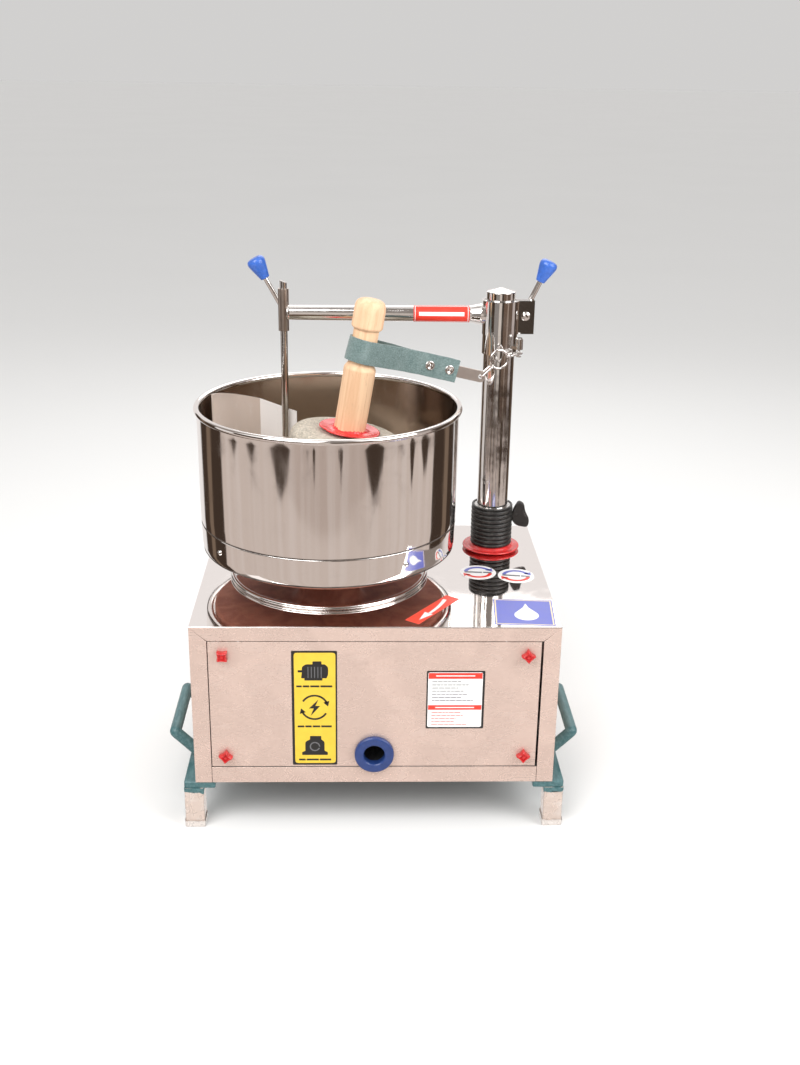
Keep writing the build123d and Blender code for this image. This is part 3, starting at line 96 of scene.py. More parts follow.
@dataclass(frozen=True)
class Span:
    """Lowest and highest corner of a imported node."""

    low: Vector
    high: Vector

    @classmethod
    def of(cls, node: str) -> "Span":
        """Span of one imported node."""
        low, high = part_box(node)
        return cls(low / MM, high / MM)

    @property
    def middle(self) -> Vector:
        """Point halfway between the corners."""
        return (self.low + self.high) / 2


@dataclass(frozen=True)
class Axes:
    """A place with three directions, for turned, extruded and printed shapes."""

    origin: Vector
    x: Vector
    y: Vector
    z: Vector

    @classmethod
    def upright(cls, x: float, y: float, z: float = 0.0) -> "Axes":
        """Axes at a point, in line with the frame's own."""
        return cls(Vector((x, y, z)), Vector((1, 0, 0)), Vector((0, 1, 0)), Vector((0, 0, 1)))

    @classmethod
    def facing(cls, origin: Sequence[float], z: Sequence[float], x: Sequence[float]) -> "Axes":
        """Axes whose z looks along one direction, with x as near as may be to another.

        Args:
            origin: Where the axes stand.
            z: Direction that the z axis takes.
            x: Direction that the x axis leans to.

        Returns:
            The three directions, at right angles to each other.
        """
        up = Vector(z).normalized()
        side = Vector(x)
        side = (side - up * side.dot(up)).normalized()
        return cls(Vector(origin), side, up.cross(side), up)

    def at(self, x: float, y: float, z: float = 0.0) -> Vector:
        """Point of the frame at local x, y, z."""
        return self.origin + self.x * x + self.y * y + self.z * z

    def polar(self, radius: float, turn: float, height: float) -> Vector:
        """Point at a radius and angle about z, at a height along it."""
        return self.at(radius * math.cos(turn), radius * math.sin(turn), height)


def eased(points: Sequence[Point2], closed: bool = True, steps: int = 4) -> list[tuple[float, float]]:
    """Outline whose marked corners are rounded.

    Args:
        points: Corners as (x, y) or (x, y, radius to round with).
        closed: Whether the last corner joins the first.
        steps: Pieces in each rounded corner.

    Returns:
        The outline's points in order.
    """
    made: list[tuple[float, float]] = []
    count = len(points)
    for index, corner in enumerate(points):
        here = Vector(corner[:2])
        ends = not closed and index in (0, count - 1)
        if len(corner) < 3 or ends:
            made.append((here.x, here.y))
            continue
        back = Vector(points[index - 1][:2]) - here
        ahead = Vector(points[(index + 1) % count][:2]) - here
        reach = min(corner[2], back.length * 0.48, ahead.length * 0.48)
        start, end = here + back.normalized() * reach, here + ahead.normalized() * reach
        for step in range(steps + 1):
            t = step / steps
            spot = start * (1 - t) ** 2 + here * (2 * t * (1 - t)) + end * t ** 2
            made.append((spot.x, spot.y))
    return made


def arc(x: float, y: float, radius: float, start: float, end: float, steps: int) -> list[tuple[float, float]]:
    """Points on a circle round (x, y) from one angle to another, in degrees."""
    turns = [math.radians(start + (end - start) * step / steps) for step in range(steps + 1)]
    return [(x + radius * math.cos(a), y + radius * math.sin(a)) for a in turns]


def box_outline(width: float, height: float, ease: float = 0.0, x: float = 0.0, y: float = 0.0) -> list:
    """Corners of a rectangle round (x, y), each to be rounded by ease."""
    w, h = width / 2, height / 2
    return [(x - w, y - h, ease), (x + w, y - h, ease), (x + w, y + h, ease), (x - w, y + h, ease)]


# ---------------------------------------------------------------- material building


class Bench:
    """The node tree of one material, with short calls for what the finishes share."""

    def __init__(self, name: str) -> None:
        """Starts a material whose texture place is the piece's own, in millimetres."""
        self.material = bpy.data.materials.new(name)
        self.material.use_nodes = True
        self.nodes = self.material.node_tree.nodes
        self.links = self.material.node_tree.links
        self.shader = self.nodes["Principled BSDF"]
        here = self.add("ShaderNodeTexCoord").outputs["Object"]
        self.place = self.stretched(here, (1 / MM, 1 / MM, 1 / MM))

    def add(self, kind: str, settings: dict | None = None, **inputs) -> bpy.types.Node:
        """Adds a node.

        Args:
            kind: Blender's name for the node.
            settings: Properties of the node.
            inputs: Values or sockets for its inputs, with _ for a space.

        Returns:
            The new node.
        """
        node = self.nodes.new(kind)
        for key, value in (settings or {}).items():
            setattr(node, key, value)
        for key, value in inputs.items():
            self.plug(node.inputs[key.replace("_", " ")], value)
        return node

    def plug(self, socket: bpy.types.NodeSocket, value) -> None:
        """Links a socket, or sets its value."""
        if isinstance(value, bpy.types.NodeSocket):
            self.links.new(value, socket)
        elif socket.type == "RGBA" and len(value) == 3:
            socket.default_value = (*value, 1.0)
        else:
            socket.default_value = value

    def set(self, **inputs) -> None:
        """Sets the shader's own inputs."""
        for key, value in inputs.items():
            self.plug(self.shader.inputs[key.replace("_", " ")], value)

    def stretched(self, vector: bpy.types.NodeSocket, scale: Sequence[float]) -> bpy.types.NodeSocket:
        """Vector times a scale on each axis."""
        node = self.add("ShaderNodeVectorMath", {"operation": "MULTIPLY"})
        self.plug(node.inputs[0], vector)
        self.plug(node.inputs[1], scale)
        return node.outputs[0]

    def noise(self, size: float, detail: float = 3.0, stretch: Sequence[float] = (1, 1, 1),
              rough: float = 0.5, warp: float = 0.0) -> bpy.types.NodeSocket:
        """Cloudy noise whose lumps are about size across, longer where stretch is small."""
        where = self.stretched(self.place, stretch)
        node = self.add("ShaderNodeTexNoise", None, Vector=where, Scale=1 / size, Detail=detail,
                        Roughness=rough, Distortion=warp)
        return node.outputs["Fac"]

    def cells(self, size: float, feature: str = "F1") -> bpy.types.NodeSocket:
        """Distance to the nearest of scattered points about size apart."""
        node = self.add("ShaderNodeTexVoronoi", {"feature": feature}, Vector=self.place, Scale=1 / size)
        return node.outputs["Distance"]

    def cell_shade(self, size: float) -> bpy.types.NodeSocket:
        """A random shade from 0 to 1 for each cell about size across."""
        node = self.add("ShaderNodeTexVoronoi", None, Vector=self.place, Scale=1 / size)
        split = self.add("ShaderNodeSeparateColor")
        self.plug(split.inputs[0], node.outputs["Color"])
        return split.outputs[0]

    def level(self, value: bpy.types.NodeSocket, low: float, high: float, to_low: float = 0.0,
              to_high: float = 1.0) -> bpy.types.NodeSocket:
        """Value eased from the range low..high to to_low..to_high, and clamped."""
        node = self.add("ShaderNodeMapRange", {"interpolation_type": "SMOOTHSTEP"}, Value=value,
                        From_Min=low, From_Max=high, To_Min=to_low, To_Max=to_high)
        return node.outputs[0]

    def calc(self, operation: str, a, b=0.0, c=0.0) -> bpy.types.NodeSocket:
        """Math node on up to three values."""
        node = self.add("ShaderNodeMath", {"operation": operation})
        for socket, value in zip(node.inputs, (a, b, c)):
            self.plug(socket, value)
        return node.outputs[0]

    def mix(self, share, a, b) -> bpy.types.NodeSocket:
        """Colour a where share is 0 and b where it is 1."""
        node = self.add("ShaderNodeMix", {"data_type": "RGBA"})
        for socket, value in zip((node.inputs[0], node.inputs[6], node.inputs[7]), (share, a, b)):
            self.plug(socket, value)
        return node.outputs[2]

    def split(self) -> Sequence[bpy.types.NodeSocket]:
        """The texture place's x, y and z."""
        return self.add("ShaderNodeSeparateXYZ", None, Vector=self.place).outputs

    def relief(self, height: bpy.types.NodeSocket, depth: float, under=None) -> bpy.types.NodeSocket:
        """Bumps of that height pattern, depth high, over another relief if given."""
        node = self.add("ShaderNodeBump", None, Height=height, Distance=depth * MM, Strength=1.0)
        if under is not None:
            self.plug(node.inputs["Normal"], under)
        return node.outputs[0]


@dataclass(frozen=True)
class Finish:
    """What every finish shares: its name, and one material made when it is first used."""

    name: str

    def build(self, bench: Bench) -> None:
        """Adds the nodes of this finish."""
        raise NotImplementedError

    def material(self) -> bpy.types.Material:
        """The finish's material, made once."""
        found = bpy.data.materials.get(self.name)
        if found is None:
            bench = Bench(self.name)
            self.build(bench)
            found = bench.material
        return found


@dataclass(frozen=True)
class Polished(Finish):
    """Bright metal with faint ripples, hazy finger smears and fine polishing lines."""

    tint: Colour = (0.80, 0.775, 0.75)
    gloss: float = 0.05
    haze: float = 0.10
    ripple: float = 0.02
    ripple_size: float = 35.0
    stretch: Sequence[float] = (1, 1, 1)
    grime: float = 0.12
    lay: Sequence[float] = (1, 1, 0.05)
    scratches: float = 0.004

    def build(self, bench: Bench) -> None:
        """Mirror with smears in its roughness and colour, and ripples in its surface."""
        smear = bench.level(bench.noise(38, 4, (1, 1, 0.6), 0.6, 0.6), 0.46, 0.72)
        lines = bench.noise(0.8, 2, self.lay)
        rough = bench.calc("MULTIPLY_ADD", smear, self.haze, self.gloss)
        rough = bench.calc("MULTIPLY_ADD", lines, 0.03, rough)
        stain = bench.calc("MULTIPLY", bench.level(bench.noise(16, 5, (1, 1, 1), 0.7), 0.52, 0.75), self.grime)
        dark = tuple(c * 0.62 for c in self.tint)
        bench.set(Base_Color=bench.mix(stain, self.tint, dark), Metallic=1.0, Roughness=rough)
        ripples = bench.relief(bench.noise(self.ripple_size, 2, self.stretch, 0.4), self.ripple * 20)
        scratch = bench.relief(lines, self.scratches, ripples)
        bench.set(Normal=scratch)


@dataclass(frozen=True)
class SatinSheet(Finish):
    """Sheet steel under cloudy film, with rub marks and dots of glue."""

    # The pink-brown tint is painted reflection of the warm surroundings in the steel sheet.
    tint: Colour = (0.72, 0.56, 0.49)
    gloss: float = 0.24
    metal: float = 0.42

    def build(self, bench: Bench) -> None:
        """Clouded sheet with rub marks, dark dots and wide shallow dents."""
        fine = bench.noise(1.1, 2)
        cloud = bench.noise(70, 4, (1, 1, 1), 0.55, 0.8)
        rub = bench.level(bench.noise(22, 6, (0.6, 1, 1.4), 0.72, 1.2), 0.50, 0.68)
        specks = bench.level(bench.cells(17), 0.035, 0.06, 1.0, 0.0)
        shade = bench.mix(bench.level(cloud, 0.40, 0.60), tuple(c * 0.96 for c in self.tint),
                          tuple(min(1.0, c * 1.03) for c in self.tint))
        shade = bench.mix(bench.calc("MULTIPLY", rub, 0.10), shade, (0.88, 0.76, 0.70))
        shade = bench.mix(bench.calc("MULTIPLY", specks, 0.5), shade, (0.34, 0.26, 0.22))
        rough = bench.calc("MULTIPLY_ADD", rub, 0.07, self.gloss)
        rough = bench.calc("MULTIPLY_ADD", fine, 0.05, rough)
        bench.set(Base_Color=shade, Metallic=self.metal, Roughness=rough)
        dents = bench.relief(bench.noise(95, 2, (1, 1, 1), 0.4), 1.0)
        bench.set(Normal=dents)


@dataclass(frozen=True)
class FilmWrap(Finish):
    """Thin clear film, crumpled over metal."""

    tint: Colour = (0.78, 0.68, 0.62)
    clouded: float = 0.4

    def build(self, bench: Bench) -> None:
        """Wrinkles with bright creases over a warm grey."""
        folds = bench.noise(12, 3, (1, 1, 0.8), 0.5, 1.2)
        crease = bench.level(folds, 0.40, 0.56)
        shade = bench.mix(crease, tuple(c * 0.93 for c in self.tint), self.tint)
        milky = bench.level(bench.noise(14, 3), 0.45, 0.7, 0.0, self.clouded)
        bench.set(Base_Color=bench.mix(milky, shade, (0.93, 0.90, 0.87)), Metallic=0.35,
                  Roughness=bench.level(folds, 0.3, 0.7, 0.16, 0.42), Coat_Weight=0.6, Coat_Roughness=0.12)
        bench.set(Normal=bench.relief(folds, 0.5))


@dataclass(frozen=True)
class Enamel(Finish):
    """Brushed-on paint with brush drags, grit, dulled patches and chips down to rusty steel."""

    tint: Colour = (0.09, 0.22, 0.235)
    light: Colour = (0.19, 0.34, 0.35)
    chip: Colour = (0.42, 0.19, 0.08)
    chips: float = 0.70
    gloss: float = 0.36

    def build(self, bench: Bench) -> None:
        """Paint in two tones with chips that lie a little lower."""
        drag = bench.noise(3.2, 4, (1, 0.18, 1), 0.6, 0.4)
        grit = bench.noise(0.9, 3, (1, 1, 1), 0.7)
        bare = bench.level(bench.noise(4.0, 6, (1, 1, 1), 0.75, 0.5), self.chips, self.chips + 0.03)
        shade = bench.mix(bench.level(drag, 0.35, 0.68), self.tint, self.light)
        shade = bench.mix(bench.calc("MULTIPLY", bench.level(grit, 0.6, 0.75), 0.45), shade,
                          tuple(min(1.0, c * 2.1) for c in self.light))
        bench.set(Base_Color=bench.mix(bare, shade, self.chip),
                  Roughness=bench.calc("MULTIPLY_ADD", bare, 0.4, self.gloss), Metallic=0.0)
        height = bench.calc("SUBTRACT", bench.calc("ADD", drag, bench.calc("MULTIPLY", grit, 0.4)), bare)
        bench.set(Normal=bench.relief(height, 0.25))


@dataclass(frozen=True)
class Moulding(Finish):
    """Moulded plastic: soft mottle, fine texture and worn lighter spots."""

    tint: Colour = (0.70, 0.02, 0.02)
    worn: Colour = (0.90, 0.20, 0.15)
    gloss: float = 0.22
    wear: float = 0.35
    grain: float = 0.02
    coat: float = 0.3

    def build(self, bench: Bench) -> None:
        """Plastic with a mottled colour and a slightly rough skin."""
        mottle = bench.noise(7, 4, (1, 1, 1), 0.6, 0.5)
        fine = bench.noise(0.55, 2)
        scuff = bench.level(bench.noise(2.6, 5, (1, 1, 1), 0.75), 0.56, 0.72)
        shade = bench.mix(bench.level(mottle, 0.3, 0.75), tuple(c * 0.78 for c in self.tint), self.tint)
        bench.set(Base_Color=bench.mix(bench.calc("MULTIPLY", scuff, self.wear), shade, self.worn),
                  Roughness=bench.level(scuff, 0.0, 1.0, self.gloss, self.gloss + 0.2),
                  Coat_Weight=self.coat, Coat_Roughness=0.08)
        bench.set(Normal=bench.relief(bench.calc("ADD", fine, bench.calc("MULTIPLY", mottle, 3.0)), self.grain))


@dataclass(frozen=True)
class Granite(Finish):
    """Dressed granite: pale grains, dark mica, rusty specks and pits."""

    base: Colour = (0.47, 0.42, 0.345)

    def build(self, bench: Bench) -> None:
        """Three sizes of grain, with pits in the relief."""
        grains = bench.cell_shade(1.5)
        fine = bench.noise(1.1, 5, (1, 1, 1), 0.75)
        patch = bench.noise(24, 3)
        shade = bench.mix(bench.level(grains, 0.1, 0.9), tuple(c * 0.70 for c in self.base),
                          tuple(min(1.0, c * 1.34) for c in self.base))
        shade = bench.mix(bench.level(patch, 0.35, 0.7, 0.0, 0.3), shade, (0.60, 0.54, 0.46))
        mica = bench.level(bench.cells(2.6), 0.10, 0.17, 0.75, 0.0)
        shade = bench.mix(mica, shade, (0.10, 0.085, 0.07))
        rust = bench.level(bench.noise(3.4, 4, (1, 1, 1), 0.7), 0.66, 0.70, 0.0, 0.8)
        shade = bench.mix(rust, shade, (0.62, 0.33, 0.13))
        bench.set(Base_Color=shade, Roughness=bench.level(fine, 0.3, 0.7, 0.62, 0.86))
        pits = bench.calc("ADD", fine, bench.calc("MULTIPLY", bench.cells(3.5), 0.5))
        bench.set(Normal=bench.relief(pits, 0.55))


@dataclass(frozen=True)
class TurnedWood(Finish):
    """Sanded pale wood with its grain along a leaning axis, pores and hand marks."""

    lean: float = 0.0
    pale: Colour = (0.88, 0.60, 0.38)
    warm: Colour = (0.76, 0.47, 0.28)

    def build(self, bench: Bench) -> None:
        """Long grain, short pores and a few smudges."""
        turn = self.add_turn(bench)
        rings = bench.add("ShaderNodeTexNoise", None, Vector=bench.stretched(turn, (1, 1, 0.045)), Scale=1 / 7.0,
                          Detail=5.0, Roughness=0.6, Distortion=0.7).outputs["Fac"]
        pores = bench.add("ShaderNodeTexNoise", None, Vector=bench.stretched(turn, (1, 1, 0.06)), Scale=1 / 0.8,
                          Detail=2.0, Roughness=0.6).outputs["Fac"]
        smudge = bench.level(bench.noise(20, 4, (1, 1, 1), 0.65), 0.56, 0.78, 0.0, 0.35)
        shade = bench.mix(bench.level(rings, 0.36, 0.66), self.pale, self.warm)
        shade = bench.mix(bench.level(pores, 0.60, 0.72, 0.0, 0.4), shade, (0.48, 0.27, 0.15))
        shade = bench.mix(smudge, shade, (0.52, 0.33, 0.22))
        bench.set(Base_Color=shade, Roughness=bench.level(pores, 0.3, 0.7, 0.50, 0.68))
        bench.set(Normal=bench.relief(bench.calc("ADD", pores, rings), 0.12))

    def add_turn(self, bench: Bench) -> bpy.types.NodeSocket:
        """The texture place, turned so that its z runs along the piece."""
        node = bench.add("ShaderNodeMapping", {"vector_type": "POINT"}, Vector=bench.place)
        node.inputs["Rotation"].default_value = (0, -math.radians(self.lean), 0)
        return node.outputs[0]


@dataclass(frozen=True)
class Suede(Finish):
    """Napped split leather: short fibres, rubbed light patches and dark scuffs."""

    tint: Colour = (0.095, 0.15, 0.145)
    rubbed: Colour = (0.20, 0.275, 0.265)

    def build(self, bench: Bench) -> None:
        """Fibres in the relief and in the colour, with a soft sheen."""
        nap = bench.noise(0.7, 4, (1, 1, 1), 0.75)
        fibre = bench.noise(1.4, 4, (0.6, 1, 1), 0.7, 0.4)
        patch = bench.noise(15, 4, (1, 1, 1), 0.6, 0.6)
        shade = bench.mix(bench.level(fibre, 0.34, 0.66), self.tint, self.rubbed)
        shade = bench.mix(bench.level(patch, 0.45, 0.72, 0.0, 0.30), shade, (0.30, 0.37, 0.36))
        shade = bench.mix(bench.level(nap, 0.56, 0.7, 0.0, 0.35), shade, (0.04, 0.065, 0.065))
        bench.set(Base_Color=shade, Roughness=0.92, Sheen_Weight=0.4, Sheen_Roughness=0.5)
        bench.set(Normal=bench.relief(bench.calc("ADD", nap, fibre), 0.35))


@dataclass(frozen=True)
class BladePaintedLight(Finish):
    """Satin blade with painted light: painted shade where it curves along the wall, a painted highlight on its flat
    side.
    """

    fold_x: float = -155.0
    # curved is painted shade on the part along the wall; flat is a painted highlight on the flat side.
    curved: Colour = (0.72, 0.61, 0.54)
    flat: Colour = (0.98, 0.95, 0.93)

    def build(self, bench: Bench) -> None:
        """Painted shade and painted highlight in two tones that meet at the fold, with fine upright grain and a few
        rubs.
        """
        grain = bench.noise(1.2, 3, (1, 1, 0.04), 0.6)
        rub = bench.level(bench.noise(18, 4, (1, 1, 0.6), 0.6), 0.5, 0.75)
        # Painted light: the side of the fold a point lies on picks painted shade or painted highlight.
        side = bench.level(bench.split()[0], self.fold_x - 0.6, self.fold_x + 0.6)
        shade = bench.mix(side, self.curved, self.flat)
        shade = bench.mix(bench.calc("MULTIPLY", rub, 0.2), shade, (0.95, 0.92, 0.90))
        bench.set(Base_Color=shade, Metallic=0.3, Roughness=bench.calc("MULTIPLY_ADD", grain, 0.12, 0.24))
        bench.set(Normal=bench.relief(grain, 0.006))


@dataclass(frozen=True)
class Rubber(Finish):
    """Black rubber with dusty grey rubs."""

    tint: Colour = (0.018, 0.017, 0.016)
    dust: Colour = (0.11, 0.10, 0.09)

    def build(self, bench: Bench) -> None:
        """Matt rubber, greyer where it is rubbed."""
        rub = bench.level(bench.noise(5, 5, (1, 1, 1), 0.7), 0.45, 0.8)
        bench.set(Base_Color=bench.mix(rub, self.tint, self.dust), Roughness=bench.level(rub, 0, 1, 0.36, 0.62))
        bench.set(Normal=bench.relief(bench.noise(0.6, 3), 0.05))


@dataclass(frozen=True)
class Oxide(Finish):
    """Red-brown primer, matt and blotchy, over a cast face."""

    tint: Colour = (0.27, 0.085, 0.05)
    light: Colour = (0.40, 0.145, 0.09)
    rough: float = 0.55

    def build(self, bench: Bench) -> None:
        """Blotches in two browns over a pebbled skin."""
        blotch = bench.noise(26, 5, (1, 1, 1), 0.6, 0.7)
        pebble = bench.noise(1.6, 4, (1, 1, 1), 0.65)
        bench.set(Base_Color=bench.mix(bench.level(blotch, 0.35, 0.68), self.tint, self.light),
                  Roughness=bench.level(pebble, 0.3, 0.7, self.rough, self.rough + 0.15))
        bench.set(Normal=bench.relief(pebble, 0.3))


@dataclass(frozen=True)
class Ink(Finish):
    """Printed film in one colour, a little uneven, under a clear gloss."""

    tint: Colour = (0.9, 0.9, 0.9)

    def build(self, bench: Bench) -> None:
        """Colour with faint patches and scuffs."""
        patch = bench.noise(12, 4)
        scuff = bench.level(bench.noise(3.0, 6, (1, 1, 1), 0.8), 0.64, 0.74, 0.0, 0.25)
        shade = bench.mix(bench.level(patch, 0.3, 0.7), tuple(c * 0.93 for c in self.tint), self.tint)
        bench.set(Base_Color=bench.mix(scuff, shade, (0.85, 0.82, 0.80)),
                  Roughness=bench.level(patch, 0.3, 0.7, 0.30, 0.40))
        bench.set(Normal=bench.relief(patch, 0.1))


class Stock:
    """The finishes of this machine."""

    TEAL = Enamel("teal_enamel", tint=(0.045, 0.125, 0.135), light=(0.10, 0.20, 0.21))
    GREY = Enamel("grey_enamel", tint=(0.09, 0.10, 0.105), light=(0.16, 0.17, 0.175), chips=0.76)
    LEG = FilmWrap("leg_film", tint=(0.74, 0.62, 0.55), clouded=0.3)
    FOOT = FilmWrap("foot_film", tint=(0.84, 0.79, 0.75), clouded=0.75)
    SHEET = SatinSheet("cover_sheet")
    MIRROR = Polished("top_mirror", tint=(0.93, 0.895, 0.88), gloss=0.012, haze=0.045, ripple=0.02,
                      ripple_size=110.0, grime=0.05)
    DRUM = Polished("drum_mirror", tint=(0.86, 0.83, 0.81), gloss=0.035, haze=0.07, ripple=0.018,
                    ripple_size=24.0, stretch=(1, 1, 0.12), grime=0.06)
    # Darker, browner copy of the drum steel for the inner wall: painted shade inside the drum.
    DRUM_INSIDE_SHADED = Polished("drum_inside_painted_shade", tint=(0.56, 0.46, 0.39), gloss=0.13, haze=0.10, ripple=0.01,
                           lay=(0.03, 0.03, 1), grime=0.25)
    BAR = Polished("smooth_bar", tint=(0.80, 0.78, 0.76), gloss=0.10, haze=0.08, ripple=0.0, scratches=0.0)
    SLEEVE = Polished("sleeve_steel", tint=(0.50, 0.43, 0.38), gloss=0.27, haze=0.2, grime=0.4)
    CHROME = Polished("bright_plate", tint=(0.80, 0.785, 0.77), gloss=0.07, haze=0.09)
    STEEL = Polished("turned_steel", tint=(0.56, 0.55, 0.54), gloss=0.22, haze=0.15)
    ROD = Polished("drawn_rod", tint=(0.66, 0.64, 0.62), gloss=0.14, haze=0.15, grime=0.3)
    BLADE = BladePaintedLight("blade_painted_light")
    TONGUE = SatinSheet("tongue_strip", tint=(0.50, 0.44, 0.40), gloss=0.36, metal=0.86)
    BRONZE = Polished("wheel_bronze", tint=(0.72, 0.50, 0.24), gloss=0.22, haze=0.1)
    CAST = Oxide("case_paint", tint=(0.055, 0.065, 0.066), light=(0.11, 0.12, 0.12), rough=0.5)
    # Dark finish for grime in the drum's seam and for painted shade along the drum's foot.
    SEAM_GRIME_AND_SHADE = Oxide("seam_grime_and_foot_shade", tint=(0.03, 0.022, 0.018), light=(0.12, 0.095, 0.08), rough=0.4)
    OXIDE = Oxide("oxide_primer")
    RED = Moulding("red_moulding", tint=(0.78, 0.035, 0.035))
    RED_KNOB = Moulding("red_knob_moulding", tint=(0.60, 0.02, 0.022), worn=(0.92, 0.30, 0.26), wear=0.4,
                        grain=0.05)
    BLUE = Moulding("blue_moulding", tint=(0.045, 0.15, 0.58), worn=(0.16, 0.32, 0.78), gloss=0.30)
    NAVY = Moulding("navy_moulding", tint=(0.022, 0.055, 0.21), worn=(0.05, 0.10, 0.30), gloss=0.36, wear=0.2)
    BLACK = Moulding("black_moulding", tint=(0.022, 0.019, 0.017), worn=(0.08, 0.07, 0.06), gloss=0.38, coat=0.1)
    RUBBER = Rubber("boot_rubber")
    GRANITE = Granite("dressed_granite")
    SUEDE = Suede("strap_suede")
    YELLOW_INK = Ink("yellow_ink", tint=(0.80, 0.55, 0.045))
    BLACK_INK = Ink("black_ink", tint=(0.02, 0.02, 0.02))
    GREY_INK = Ink("grey_ink", tint=(0.16, 0.16, 0.17))
    ROSE_INK = Ink("rose_ink", tint=(0.62, 0.16, 0.13))
    WARM_RED_INK = Ink("warm_red_ink", tint=(0.86, 0.085, 0.05))
    WHITE_INK = Ink("white_ink", tint=(0.88, 0.87, 0.86))
    RED_INK = Ink("red_ink", tint=(0.80, 0.045, 0.025))
    BLUE_INK = Ink("blue_ink", tint=(0.13, 0.15, 0.50))
    CREAM_INK = Ink("cream_ink", tint=(0.80, 0.66, 0.42))


# ---------------------------------------------------------------- shapes


